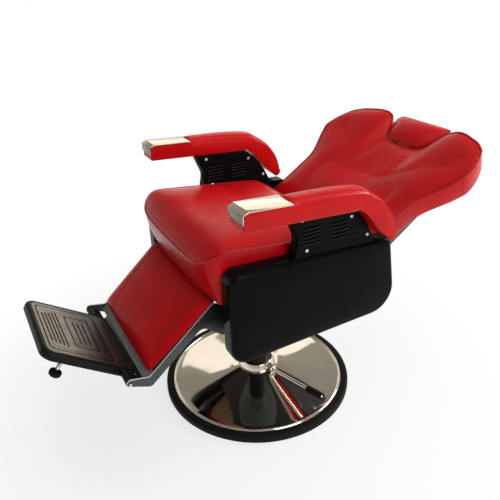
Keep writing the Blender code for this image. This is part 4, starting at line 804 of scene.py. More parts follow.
def swell(cushions):
    """Swells all cushions together as stuffed cloth, held at their seams and undersides."""
    for cushion, pressure, _ in cushions:
        group = cushion.piece.vertex_groups.new(name="held")
        group.add(sorted(cushion.held), 1.0, 'REPLACE')
        cloth = cushion.piece.modifiers.new("cloth", 'CLOTH')
        for key, value in CLOTH.items():
            setattr(cloth.settings, key, value)
        cloth.settings.uniform_pressure_force = pressure
        cloth.settings.effector_weights.gravity = 0.0
        cloth.collision_settings.use_collision = False
        cloth.collision_settings.use_self_collision = False
        cloth.point_cache.frame_start = 1
        cloth.point_cache.frame_end = SWELL_FRAMES
    for step in range(1, SWELL_FRAMES + 1):
        SCENE.frame_set(step)
    graph = bpy.context.evaluated_depsgraph_get()
    for cushion, _, cap in cushions:
        mesh = cushion.piece.evaluated_get(graph).data
        moved = np.empty(len(mesh.vertices) * 3)
        mesh.vertices.foreach_get("co", moved)
        shift = moved.reshape(-1, 3) - cushion.rest
        length = np.linalg.norm(shift, axis=1)
        shift *= (cap * np.tanh(length / cap) / np.maximum(length, 1e-9))[:, None]
        cushion.shift = shift
    for cushion, _, _ in cushions:
        cushion.piece.modifiers.clear()
        cushion.piece.data.vertices.foreach_set("co", (cushion.rest + cushion.shift).ravel())
        cushion.piece.data.update()
    SCENE.frame_set(1)
    for cushion, _, _ in cushions:
        smooth = cushion.piece.modifiers.new("smooth", 'SUBSURF')
        smooth.levels = 1
        smooth.render_levels = 1


def corner_in(u, w, share, power=14):
    """Rounds the corners of the square -1 to 1 in plan."""
    return u * (1 - share * abs(w) ** power), w * (1 - share * abs(u) ** power)


def rise(distance, height, run):
    """How far a panel swells up at a distance from its seam."""
    return height * (1 - math.exp(-distance / run))


def seat_spot(u, v, level):
    depth = SEAT_REAR - SEAT_FRONT
    x, w = corner_in(u, 2 * v - 1, mix(0.020, mix(0.080, 0.045, v), level), 10)
    along = (w + 1) / 2
    y = mix(SEAT_FRONT + 0.010 * u * u, SEAT_REAR, along)
    seam = mix(0.288, 0.243, along)
    roll = max(0.0, 1.0 - along * depth / 0.066)
    edge = min((1 - abs(u)) * SEAT_HALF, v * depth, (1 - v) * depth)
    crown = 0.008 * (1 - u ** 4) * (1 - (2 * v - 1) ** 6) + rise(edge, 0.008, 0.012)
    top = seam + crown - 0.046 * roll * roll
    low = SEAT_BASE - 0.0075 * max(0.0, 1 - v * depth / 0.030)
    inset = 1.0 - 0.016 * (1 - level) ** 2 - 0.004 * math.sin(math.pi * level) ** 2
    tuck = (1 - level) ** 1.5
    y += 0.032 * tuck * max(0.0, 1 - 3 * v) - 0.010 * tuck * max(0.0, 3 * v - 2)
    return SEAT @ Vector((SEAT_HALF * x * inset, y, mix(low, top, level)))


def back_spot(u, v, shrink=0.0):
    """Point of the back's outline grid: u across from -1 to 1, v up the back from 0 to 1."""
    s = mix(BACK_BOTTOM + shrink, BACK_TOP(abs(u)) - shrink, v)
    return u * (BACK_SIDE(s) - shrink), s


def back_rim(u, v):
    """How far the back's front seam would stand off its board, without the padding."""
    side = abs(u)
    hollow = 0.030 * (1 - side ** 2.2) * (0.35 + 0.65 * v)
    wing = 0.008 * side * side * v ** 6
    return BACK_THICKNESS - 0.008 - hollow + 0.010 * math.sin(math.pi * min(1.0, side)) ** 2 * v + wing


def back_front(u, v, x, s):
    """How far the back's padded front stands off its board."""
    edge = min((1 - abs(u)) * 0.26, (1 - v) * 0.40, v * 0.40)
    valley = 0.005 * math.exp(-((abs(x) - 0.085) / 0.030) ** 2) * min(1.0, max(0.0, (s - 0.24) / 0.08))
    wing = 0.004 * math.exp(-((abs(x) - 0.190) / 0.070) ** 2 - ((s - 0.430) / 0.070) ** 2)
    lumbar = 0.009 * math.exp(-(x / 0.13) ** 2 - ((s - 0.150) / 0.075) ** 2)
    return back_rim(u, v) - valley + wing + lumbar + rise(edge, 0.010, 0.014)


def back_point(u, v, level):
    x, s = back_spot(u, v)
    if level == 1.0:
        return BACK @ Vector((x, s, back_front(u, v, x, s)))
    inset = 1.0 - 0.045 * (1 - level) ** 2 - 0.002 * math.sin(math.pi * level)
    low = 1.0 - 0.015 * (1 - level)
    return BACK @ Vector((x * inset, mix(BACK_BOTTOM, s, low), back_rim(u, v) * level))


def head_point(u, v, level):
    x, w = corner_in(u, 2 * v - 1, 0.040, 8)
    v_in = (w + 1) / 2
    s = mix(HEAD_BOTTOM, HEAD_TOP, v_in)
    edge = min((1 - abs(u)) * 0.10, v * 0.099, (1 - v) * 0.099)
    front = (0.040 + 0.007 * (1 - u * u) * (1 - (2 * v - 1) ** 4) + rise(edge, 0.012, 0.014)
             - 0.005 * v_in ** 3)
    inset = 1.0 - 0.045 * (1 - level) ** 2
    slope = 0.006 * (1 - level) * (2 * v - 1)
    return BACK @ Vector((HEAD_HALF(s) * x * inset, s - slope, mix(HEAD_REAR, front, level)))


def leg_point(u, v, level):
    bed = RAIL_FRONT + GAP
    x, w = corner_in(u, 2 * v - 1, mix(0.035, 0.012, v))
    v_in = (w + 1) / 2
    s = mix(LEG_BOTTOM, LEG_TOP, v_in)
    half = mix(LEG_BOTTOM_HALF, LEG_TOP_HALF, v_in)
    length = LEG_TOP - LEG_BOTTOM
    edge = min((1 - abs(u)) * half, v * length, (1 - v) * length)
    top = bed + 0.006 + rise(edge, 0.010, 0.010) + 0.004 * (1 - u ** 4) * (1 - (2 * v - 1) ** 4)
    inset = 1.0 - 0.025 * (1 - level)
    slope = 0.004 * (1 - level) * (1 - 2 * v)
    return LEG @ Vector((half * x * inset, s + slope, mix(bed, top, level)))


def arm_spine():
    """Armrest side view in (y, z): tops and undersides from the front to the end of the rear drop."""
    stations = [(ARM_FRONT + 0.0006, -0.0115), (ARM_FRONT + CAP_CHAMFER, -0.0034),
                (CAP_REAR - 0.004, -0.0032), (CAP_REAR + 0.003, 0.0010)]
    tops = [(y, cap_line(y) + lift) for y, lift in stations]
    lows = [(y, arm_under(y)) for y, _ in stations]
    for share, lean, lift in ARM_RUN:
        y = mix(CAP_REAR, ARM_BEND, share)
        tops.append((y + lean, cap_line(y) + lift))
        lows.append((y, arm_under(y)))
    for (y, z), (_, _, out, up) in zip(arm_inside(0.0), ARM_DROP):
        tops.append((y + out, z + up))
        lows.append((y, z))
    return tops, lows


def make_arm(side, sign):
    tops, lows = arm_spine()
    last_cap = ARM_CAP_STATIONS - 1
    marks = [0.0]
    for index in range(len(tops) - 1):
        steps = 1 if index == 0 else 8 if index == 1 else 2 if index < last_cap else 5
        marks += [index + (k + 1) / steps for k in range(steps)]

    def along_line(line, mark):
        index = min(int(mark), len(line) - 2)
        p1, p2 = Vector(line[index]), Vector(line[index + 1])
        if index < last_cap:
            return p1.lerp(p2, mark - index)
        p0 = Vector(line[index - 1]) if index > last_cap else 2 * p1 - p2
        p3 = Vector(line[index + 2]) if index + 2 < len(line) else 2 * p2 - p1
        return bend(p0, p1, p2, p3, mark - index)

    def place(u, mark, level):
        top = along_line(tops, mark)
        low = along_line(lows, mark)
        outward = (top - low).normalized()
        soft = min(1.0, max(0.0, (mark - last_cap + 0.5) / 0.8))
        padding = -0.0065 + rise((1 - abs(u)) * ARM_WIDTH / 2, 0.0065, 0.006) + 0.005 * (1 - u * u)
        spot = low.lerp(top, level) + outward * padding * soft * level
        inset = mix(0.985 - 0.03 * (1 - level) ** 2, ARM_HALF(level), soft)
        return SEAT @ Vector((sign * ARM_MIDDLE + ARM_WIDTH / 2 * u * inset, spot.x, spot.y))

    across = eased(14)
    cushion = Cushion(side + "_armrest", place, across, marks, (0.0, 0.06, 0.18, 0.4, 0.65, 0.82, 0.93, 1.0))
    cushion.held |= set(range(sum(1 for mark in marks if mark <= last_cap) * len(across)))
    return cushion


def make_upholstery():
    seat = Cushion("seat_upholstery", seat_spot, eased(36), eased_share(32),
                   (0.0, 0.08, 0.2, 0.4, 0.6, 0.8, 0.92, 1.0))
    back = Cushion("back_upholstery", back_point, eased(56), eased_share(36),
                   (0.0, 0.1, 0.3, 0.5, 0.7, 0.86, 0.95, 1.0))
    head = Cushion("headrest_upholstery", head_point, eased(22), eased_share(14),
                   (0.0, 0.12, 0.35, 0.6, 0.8, 0.93, 1.0))
    leg = Cushion("leg_upholstery", leg_point, eased(32), eased_share(26), (0.0, 0.3, 0.7, 1.0))
    left, right = (make_arm(side, sign) for side, sign in SIDES)

    def sewn(cushion, frame_of, lines, count, reach):
        """Smooth sewn lines on a cushion, where its cloth is held down."""
        behind = frame_of.to_3x3() @ Vector((0.0, 0.0, -1.0))
        smooth = [curved([(x, s, 0.0) for x, s in line], count) for line in lines]
        paths = [[frame_of @ Vector(p) for p in line] for line in smooth]
        for path in paths:
            cushion.hold_near(lay_on(cushion.piece, path, behind, 0.0), reach)
        return behind, paths

    def mirrored(line):
        return [(-x, s) for x, s in line]

    arch = [(-0.128, 0.060), (-0.137, 0.110), (-0.152, 0.140), (-0.163, 0.180), (-0.153, 0.222),
            (-0.120, 0.241), (-0.075, 0.249), (0.0, 0.248)]
    arch += mirrored(reversed(arch[:-1]))
    wing = [(0.082, 0.254), (0.106, 0.281), (0.163, 0.332), (0.217, 0.361), (0.256, 0.375)]
    back_behind, back_paths = sewn(back, BACK, [arch, wing, mirrored(wing)], 90, 0.0055)
    seam = [(0.124, LEG_BOTTOM + 0.003), (0.136, -0.205), (0.148, -0.160), (0.157, -0.110),
            (0.162, LEG_TOP - 0.004)]
    leg_behind, leg_paths = sewn(leg, LEG, [seam, mirrored(seam)], 60, 0.0050)
    swell([(seat, 5.0, 0.006), (back, 5.0, 0.008), (head, 4.0, 0.004), (leg, 4.0, 0.004),
           (left, 4.0, 0.003), (right, 4.0, 0.003)])
    leg.piece.data.materials[0] = LEG_RED
    # The piping of the back, headrest, leg rest and arms is a darker copy of the leather: painted shade along
    # their seams.
    for cushion, body, node, fill, piping, count, radius, material in (
            (seat, "seat", "seat_cushion", 0.85, "seat_seam", 240, 0.0018, SEAT_PIPING),
            (back, "back", "back_cushion", 0.8, "back_piping", 420, 0.0028, RED_PIPING_PAINTED_SHADE),
            (head, "headrest", "headrest_pad", 0.8, "headrest_seam", 140, 0.0016, RED_PIPING_PAINTED_SHADE),
            (leg, "leg_rest", "leg_pad", 0.8, "leg_seam", 200, 0.0014, RED_PIPING_PAINTED_SHADE),
            (left, "seat", "left_arm_pad", 0.9, "left_arm_seam", 220, 0.0012, RED_PIPING_PAINTED_SHADE),
            (right, "seat", "right_arm_pad", 0.9, "right_arm_seam", 220, 0.0012, RED_PIPING_PAINTED_SHADE)):
        wear(cushion.piece, body, "red_upholstery", node)
        carry(cushion.piece, tube(piping, cushion.rim_path(count), radius, material, True))
    seat_line = lay_on(seat.piece, seat.inner_path(0.040, 260), (0.0, 0.0, -1.0), 0.0002)
    carry(seat.piece, stitches("seat_topstitch", seat_line))
    # A dark thread tube just inside the back's seam: painted shade of the groove beside the piping.
    back_line = lay_on(back.piece, back.inner_path(0.030, 520), back_behind, -0.0002)
    carry(back.piece, tube("back_rim_groove_painted_shade", back_line, 0.0007, RED_THREAD_AND_SEAM_SHADE, True))
    # Dark thread tubes along the sewn lines: painted shade of the seams' creases.
    for name, cushion, behind, paths, radius in (("back", back, back_behind, back_paths, 0.0006),
                                                 ("leg", leg, leg_behind, leg_paths, 0.0008)):
        for number, path in enumerate(paths, 1):
            line = lay_on(cushion.piece, path, behind, -0.0002)
            carry(cushion.piece, tube(f"{name}_sewn_line_{number}", line, radius, RED_THREAD_AND_SEAM_SHADE))


# Rigid pieces


def make_base():
    ring = rounded([(0.2782, 0.024, 0.001), (0.300, 0.024, 0.0075), (0.300, 0.0, 0.003),
                    (0.2782, 0.0, 0.001)])
    wear(lathe("base_rubber_ring", ring, RUBBER, steps=144, closed=True), "base", "black_rubber", "base_ring")
    bead = [(0.2776 - 0.010 * share, 0.0225 + 0.0045 * math.sin(math.pi * share))
            for share in spread(0.0, 1.0, 8)]
    slope = [(0.2676, 0.0225), (0.264, 0.0235), (0.235, 0.0275), (0.190, 0.0345), (0.140, 0.0430),
             (0.095, 0.0515), (0.070, 0.0570), (0.055, 0.0590)]
    top = [tuple(p) for p in curved(slope, 36)]
    profile = [*reversed(top), *bead[-2::-1], (0.2776, 0.0105), (0.2751, 0.0105), (0.2751, 0.0200)]
    profile += [(radius, height - 0.0025) for radius, height in top[4:]]
    wear(lathe("base_chrome_dome", profile, CHROME, steps=144, closed=True), "base", "chrome", "base_dome")
    foot, bore = 0.0593, 0.0286
    collar = rounded([(0.0425, foot + 0.024, 0.001), (0.0513, foot + 0.024, 0.003),
                      (0.0600, foot + 0.0072, 0.005), (0.0600, foot, 0.001), (0.0425, foot, 0.0005)], 5)
    ring_piece = wear(lathe("pump_collar_ring", collar, CHROME, closed=True), "base", "chrome", "pump_collar")
    lug_rear, lug_low, lug_high = 0.0490 - LEVER_PIVOT_RADIUS, foot - 0.0715, foot - 0.0490
    lug = rounded([(lug_rear, lug_low, 0.0), (0.010, lug_low, 0.008), (0.010, lug_high, 0.008),
                   (lug_rear, lug_high, 0.0)])
    for number, offset in enumerate((-0.0088, 0.0088), 1):
        stand = LEVER @ at(0.0, offset, 0.0) @ turned(QUARTER, 'X')
        hole = circle(0.0, 0.0, LEVER_BORE)
        carry(ring_piece, plate(f"lever_lug_{number}", lug, 0.005, CHROME, stand, 0.0007, [hole]))
    cylinder = rounded([(bore, 0.262, 0.0005), (0.042, 0.262, 0.0025), (0.042, 0.0203, 0.004),
                        (0.063, 0.0203, 0.002), (0.063, 0.0103, 0.0), (bore, 0.0103, 0.0)], 5)
    # The pump cylinder is drawn in the black frame paint: painted shade, as the column stands in the dark
    # under the seat.
    cylinder_piece = lathe("pump_cylinder_tube_painted_shade", cylinder, FRAME_BLACK, closed=True)
    wear(cylinder_piece, "base", "bare_steel", "pump_cylinder")
    ram = [(0.0, 0.340), (0.0265, 0.340), (0.028, 0.3385), (0.028, 0.0615), (0.0265, 0.060), (0.0, 0.060)]
    wear(lathe("pump_ram_rod", ram, CHROME), "ram", "chrome", "pump_ram")
    hub = rounded([(0.0, 0.348, 0.0), (0.095, 0.348, 0.0015), (0.095, 0.340, 0.0015), (0.040, 0.340, 0.006),
                   (0.040, 0.268, 0.002), (bore, 0.268, 0.0005), (bore, 0.3403, 0.0), (0.0, 0.3403, 0.0)], 5)
    wear(lathe("swivel_hub_turned", hub, RAIL_GREY), "seat", "grey_paint", "swivel_hub")


def make_pump_lever():
    rise_angle = math.radians(9.3)
    direction = Vector((math.cos(rise_angle), 0.0, math.sin(rise_angle)))
    eye = plate("pump_lever_eye", circle(0.0, 0.0, 0.010, 40), 0.012, CHROME, LEVER @ turned(QUARTER, 'X'),
                0.0015, [circle(0.0, 0.0, LEVER_BORE)])
    wear(eye, "pump_lever", "chrome", "pump_lever")
    reaches = (0.0085, 0.012, 0.020, 0.080, 0.160, 0.222, 0.2262, 0.228)
    path = [LEVER @ (direction * reach) for reach in reaches]
    radii = (0.0060, 0.0058, 0.0055, 0.0055, 0.0055, 0.0055, 0.0045, 0.002)
    carry(eye, tube("pump_lever_rod", path, radii, CHROME, sides=24))
    along = LEVER @ Matrix.Translation(direction * 0.166) @ turned(QUARTER - rise_angle, 'Y')
    ribs = []
    for step in spread(0.0, 1.0, 44):
        rib = 0.0006 * math.cos(2 * math.pi * 9 * step) if 0.12 < step < 0.88 else -0.0004
        ribs.append((0.0104 + rib, 0.001 + 0.060 * step))
    sleeve = [(0.0058, 0.062), (0.0085, 0.062), (0.0098, 0.0613), *reversed(ribs), (0.0098, 0.0005),
              (0.0085, 0.0), (0.0058, 0.0)]
    grip = lathe("pump_lever_grip", sleeve, RUBBER, along, 40, True)
    wear(grip, "pump_lever", "black_rubber", "pump_lever_sleeve")


def inward(outline, depth):
    """A closed outline moved in by a depth along its normals."""
    ring = np.array(outline)
    run = np.roll(ring, -1, axis=0) - np.roll(ring, 1, axis=0)
    run /= np.linalg.norm(run, axis=1)[:, None]
    turn = 1.0 if area([tuple(p) for p in ring]) > 0 else -1.0
    return ring + depth * turn * np.stack((-run[:, 1], run[:, 0]), axis=1)


def make_cover(side, sign):
    corners = [(COVER_FRONT, COVER_FRONT_TOP, 0.032), (COVER_FRONT, -0.019, 0.042), (0.12474, -0.010, 0.10),
               (0.301, -0.006, 0.095), (COVER_REAR, COVER_REAR_TOP, 0.020)]
    outline = evenly(rounded(corners, 10), 200, True)
    shoulder = COVER_OUTER - COVER_CROWN
    rings = [(outline, COVER_INNER), (outline, mix(COVER_INNER, COVER_OUTER, 0.4)),
             (outline, shoulder - COVER_ROUND)]
    for turn in spread(0.0, QUARTER, 7)[1:]:
        ring = inward(outline, COVER_ROUND * (1 - math.cos(turn)))
        rings.append((ring, shoulder - COVER_ROUND * (1 - math.sin(turn))))
    rim = rings[-1][0]
    centre = rim.mean(axis=0)
    for share in (0.93, 0.84, 0.72, 0.58, 0.42, 0.26, 0.12):
        rings.append((centre + (rim - centre) * share, COVER_OUTER - COVER_CROWN * share ** 6))
    points = [SEAT @ Vector((sign * x, y, z)) for ring, x in rings for y, z in ring]
    numbers = numbered(len(rings), len(outline))
    last = numbers[-1]
    faces = strips(numbers) + [(last[k - 1], last[k], len(points)) for k in range(len(last))]
    points.append(SEAT @ Vector((sign * COVER_OUTER, *centre)))
    shell = add_piece(side + "_cover_shell", points, faces, GLOSS_BLACK, 50.0)
    if sum(f.normal.x * sign for f in shell.data.polygons) < 0:
        shell.data.flip_normals()
    wall = shell.modifiers.new("wall", 'SOLIDIFY')
    wall.thickness = COVER_WALL
    wall.offset = -1.0
    slot_front, slot_rear = PANEL_FRONT + 0.0045, PANEL_REAR + 0.005
    middle = (slot_front + slot_rear) / 2
    gate = SEAT @ at(sign * (FRAME_INNER + FRAME_OUTER) / 2, middle, cover_top(middle))
    cut(shell, block((0.007, slot_rear - slot_front, 0.060), gate))
    if sign < 0:
        drill(shell, RELEASE_BORE, 0.010, RELEASE @ at(-COVER_OUTER, 0.0, 0.0) @ turned(QUARTER, 'Y'))
    shell.data.shade_smooth()
    shell.data.set_sharp_from_angle(angle=math.radians(40.0))
    wear(shell, "seat", "gloss_black_cover", side + "_side_cover")
    relief = evenly(rectangle(0.105, 0.114, 0.232, 0.190, 0.020), 90, True)
    spots = [SEAT @ Vector((sign * 0.4, y, z)) for y, z in relief]
    line = lay_on(shell, spots, (-sign, 0.0, 0.0), -0.0006)
    carry(shell, tube(side + "_cover_bead", line, 0.0016, GLOSS_BLACK, True))


def make_panels(side, sign):
    top_front, top_rear, sag = PANEL_FRONT - 0.018, ARM_BEND - 0.032, PANEL_FRONT + 0.010
    drop = arm_inside(0.003)
    outline = rounded([
        (PANEL_FRONT, cover_top(PANEL_FRONT) + GAP, 0.0), (PANEL_REAR, cover_top(PANEL_REAR) + GAP, 0.0),
        (*drop[2], 0.004), (*drop[1], 0.006), (*drop[0], 0.008), (top_rear, arm_under(top_rear) - GAP, 0.0),
        (top_front, arm_under(top_front) - GAP, 0.0), (sag, mix(cover_top(sag), arm_under(sag), 0.45), 0.050),
    ], 8)
    low_front, low_rear = PANEL_FRONT + 0.034, PANEL_REAR - 0.028
    high_rear, high_front = ARM_BEND + 0.002, PANEL_FRONT + 0.018
    bolts = [(high_front, arm_under(high_front) - 0.015), (high_rear, arm_under(high_rear) - 0.028),
             (low_rear, cover_top(low_rear) + 0.026), (low_front, cover_top(low_front) + 0.019)]
    slots = []
    for shift in (-0.043, 0.043):
        y = mix(PANEL_FRONT, ARM_BEND, 0.545) + shift
        base = mix(cover_top(y), arm_under(y), 0.5) - 0.021
        slots += [(y, base + LOUVRE_PITCH * k) for k in range(LOUVRE_COUNT)]
    holes = [circle(y, z, 0.0035, 24) for y, z in bolts]
    holes += [capsule(y, z, LOUVRE_LENGTH, LOUVRE_HEIGHT) for y, z in slots]
    lip = [(-0.026, -0.0012), (-0.024, -0.0028), (-0.012, -0.0032), (0.012, -0.0032), (0.024, -0.0028),
           (0.026, -0.0012)]
    for layer, inner, face in (("inner", PANEL_INNER, PANEL_INNER),
                               ("outer", PANEL_OUTER - PANEL_THICKNESS, PANEL_OUTER)):
        stand = SEAT @ at(sign * (inner + PANEL_THICKNESS / 2), 0.0, 0.0) @ ON_EDGE
        name = f"{side}_{layer}_louvre_panel"
        panel = plate(name, outline, PANEL_THICKNESS, SATIN_BLACK, stand, holes=holes)
        wear(panel, "seat", "black_panel", f"{side}_{layer}_arm_panel")
        # Painted highlight: the louvre lips are drawn in a lighter black than the panel.
        lips = [[SEAT @ Vector((sign * face, y + along, z + up)) for along, up in lip] for y, z in slots]
        carry(panel, tubes(f"{side}_{layer}_louvre_lips", lips, 0.0015, HIGHLIGHT_LIP_BLACK))
    half = (PANEL_OUTER - PANEL_INNER) / 2 + GAP
    head = [(0.0, 0.0008), (0.0022, 0.0008), (0.0022, 0.0030), (0.0030, 0.0030), (0.0041, 0.0026),
            (0.0050, 0.0016), (0.0054, 0.0)]
    profile = [(radius, half + height) for radius, height in head] + [(0.003, half), (0.003, -half)]
    profile += [(radius, -half - height) for radius, height in reversed(head)]

    def socket(ring, turn):
        """Six-sided sockets in both ends."""
        in_socket = ring in (1, 2, len(profile) - 2, len(profile) - 3)
        return 0.9 / math.cos((turn + math.pi / 6) % (math.pi / 3) - math.pi / 6) if in_socket else 1.0

    for number, (y, z) in enumerate(bolts, 1):
        turn = SEAT @ at(sign * (PANEL_INNER + PANEL_OUTER) / 2, y, z) @ turned(QUARTER, 'Y')
        screw = lathe(f"{side}_panel_screw_{number}", profile, STEEL, turn, 24, False, socket)
        wear(screw, "seat", "bare_steel", f"{side}_panel_bolt_{number}")


def cap_outline(depth):
    """Line over the cap from its rear edge to its front lip, sunk below its top by a depth."""
    bend_at = ARM_FRONT + CAP_CHAMFER
    nose = ARM_FRONT - CAP_THICKNESS + depth
    return [(CAP_REAR, cap_line(CAP_REAR) - depth), (bend_at + depth * 0.3, cap_line(bend_at) - depth),
            (nose, cap_line(bend_at) - CAP_CHAMFER * 0.6 - depth * 0.4), (nose, cap_line(bend_at) - CAP_LIP)]


def make_cap(side, sign):
    outer = [(*p, r) for p, r in zip(cap_outline(0.0), (0.0008, 0.006, 0.005, 0.0008))]
    inner = [(*p, r) for p, r in zip(reversed(cap_outline(CAP_THICKNESS)), (0.0008, 0.003, 0.004, 0.0008))]
    stand = SEAT @ at(sign * ARM_MIDDLE, 0.0, 0.0) @ ON_EDGE
    cap = plate(side + "_chrome_cap", rounded(outer + inner, 5), ARM_WIDTH, CAP_CHROME, stand, 0.0007)
    # Painted shade: the cap's front faces get the darker copy of its chrome.
    second_finish(cap, PAINTED_SHADE_CHROME, Vector((0.0, -1.0, 0.0)), 0.8)
    wear(cap, "seat", "chrome", side + "_arm_cap")


def make_back_board():
    inset = 0.030
    outline = [back_spot(u, 1.0, inset) for u in reversed(spread(-1.0, 1.0, 60))]
    outline += [back_spot(-1.0, v, inset) for v in reversed(spread(0.0, 1.0, 24)[:-1])]
    outline += [back_spot(1.0, v, inset) for v in spread(0.0, 1.0, 24)[:-1]]
    board = plate("back_shell_board", outline, BOARD_THICKNESS, BOARD_BLACK,
                  BACK @ at(0.0, 0.0, -GAP - BOARD_THICKNESS / 2), 0.003)
    wear(board, "back", "black_panel", "back_board")
    head = [(0.0, -0.0008), (0.0016, -0.0008), (0.0016, 0.0), (0.0030, 0.0012), (0.0045, 0.0005),
            (0.0052, -0.0004), (0.0052, -0.0020), (0.0, -0.0020)]
    spots = [(0.0, 0.075), (0.185, 0.080), (0.195, 0.190), (0.255, 0.300), (0.262, 0.400), (0.160, 0.455)]
    spots = [(sign * x, s) for x, s in spots for sign in (1, -1) if x or sign > 0]
    for number, (x, s) in enumerate(spots, 1):
        turn = BACK @ at(x, s, -GAP - BOARD_THICKNESS) @ turned(math.pi, 'X')
        carry(board, lathe(f"back_board_screw_{number}", head, STEEL, turn, 20))


def make_leg_rest():
    half = RAIL_INNER - GAP
    low = RAIL_BEND + 0.018 - GAP
    bar = rectangle(-half, low - 0.036, half, low, 0.002)
    cross = plate("leg_cross_bar", bar, 0.006, SPECKLED, LEG @ at(0.0, 0.0, RAIL_FRONT - 0.005), 0.0012)
    wear(cross, "leg_rest", "grey_paint", "leg_cross_plate")
    behind = RAIL_FRONT - 0.0079
    full = 2 * half - 0.004
    for name, reach, width in (("leg_cross_flange", 0.057, 0.350), ("leg_cross_lip", 0.041, full)):
        flange = rounded([(low - 0.034, behind, 0.0), (low - 0.030, behind, 0.0),
                          (low - 0.030, 0.0445, 0.004), (low - reach, 0.0415, 0.0),
                          (low - reach, 0.0390, 0.0), (low - 0.034, 0.0415, 0.004)], 4)
        carry(cross, plate(name, flange, width, CAST_BLACK, LEG @ ON_EDGE, 0.0004))
    top, narrow = LEG_TOP + 0.006, half - 0.012
    lining = rounded([(-half, low + GAP, 0.001), (half, low + GAP, 0.001), (half, -0.030, 0.010),
                      (narrow, top, 0.006), (-narrow, top, 0.006), (-half, -0.030, 0.010)])
    board = plate("leg_lining_board", lining, BOARD_THICKNESS, BOARD_BLACK,
                  LEG @ at(0.0, 0.0, RAIL_FRONT - BOARD_THICKNESS / 2), 0.0012)
    wear(board, "leg_rest", "plywood", "leg_board")
    middle = RECLINE_TRAVEL / 2
    crank = Vector((0.0, -CRANK_LENGTH * math.sin(middle), -CRANK_LENGTH * math.cos(middle)))
    local = turned(-LEG_ANGLE, 'X') @ crank
    boss, lobe, toe, rear = 0.0184, 0.0144, 0.0104, RAIL_FRONT - 0.025
    outline = rounded([
        (boss, -boss * 0.4, boss), (-boss * 0.5, RAIL_FRONT, 0.010), (RAIL_BEND, RAIL_FRONT, 0.010),
        (FOOT_PIVOT[0] + toe * 0.7, FOOT_PIVOT[1] + toe, toe),
        (FOOT_PIVOT[0] - toe, FOOT_PIVOT[1] + toe * 0.6, toe),
        (RAIL_BEND - 0.01875, rear, 0.012), (local.y - 2 * lobe, rear, 0.020),
        (local.y - lobe, local.z - lobe * 0.6, lobe), (local.y + lobe, local.z - lobe, lobe),
    ], 8)
    holes = [circle(0.0, 0.0, LEG_PIVOT_BORE), circle(*FOOT_PIVOT, FOOT_PIVOT_BORE, 24)]
    highlight_facing = LEG.to_3x3() @ Vector((0.0, 0.25, 1.0)).normalized()
    link_outer = BACK_ARM_OUTER + 2 * SLIDE_CLEARANCE + LINK_THICKNESS
    shank = link_outer + GAP - RAIL_INNER
    stud = [(0.0, 0.001), (0.005, 0.001), (0.006, 0.0), (0.006, -shank), (0.0, -shank)]
    for side, sign in SIDES:
        stand = LEG @ at(sign * (RAIL_INNER + RAIL_OUTER) / 2, 0.0, 0.0) @ ON_EDGE
        rail = plate(side + "_rail_plate", outline, RAIL_THICKNESS, RAIL_ENAMEL_AND_SHADE, stand, 0.0006, holes)
        # Painted highlight: the rail faces that look this way get the pale grey edge paint.
        second_finish(rail, PAINTED_HIGHLIGHT_EDGE, highlight_facing, 0.45)
        wear(rail, "leg_rest", "grey_paint", side + "_leg_rail")
        turn = LEG @ at(sign * (link_outer + GAP), local.y, local.z) @ turned(sign * QUARTER, 'Y')
        carry(rail, lathe(side + "_rail_stud", stud, STEEL, turn, 24))


def foot_outline(inset):
    front_round, rear_round = (max(0.002, r - inset) for r in (FOOT_FRONT_ROUND, FOOT_REAR_ROUND))
    return trapezoid((FOOT_FRONT_HALF - inset, FOOT_FRONT + inset, front_round),
                     (FOOT_REAR_HALF - inset, FOOT_REAR - inset, rear_round), 8)


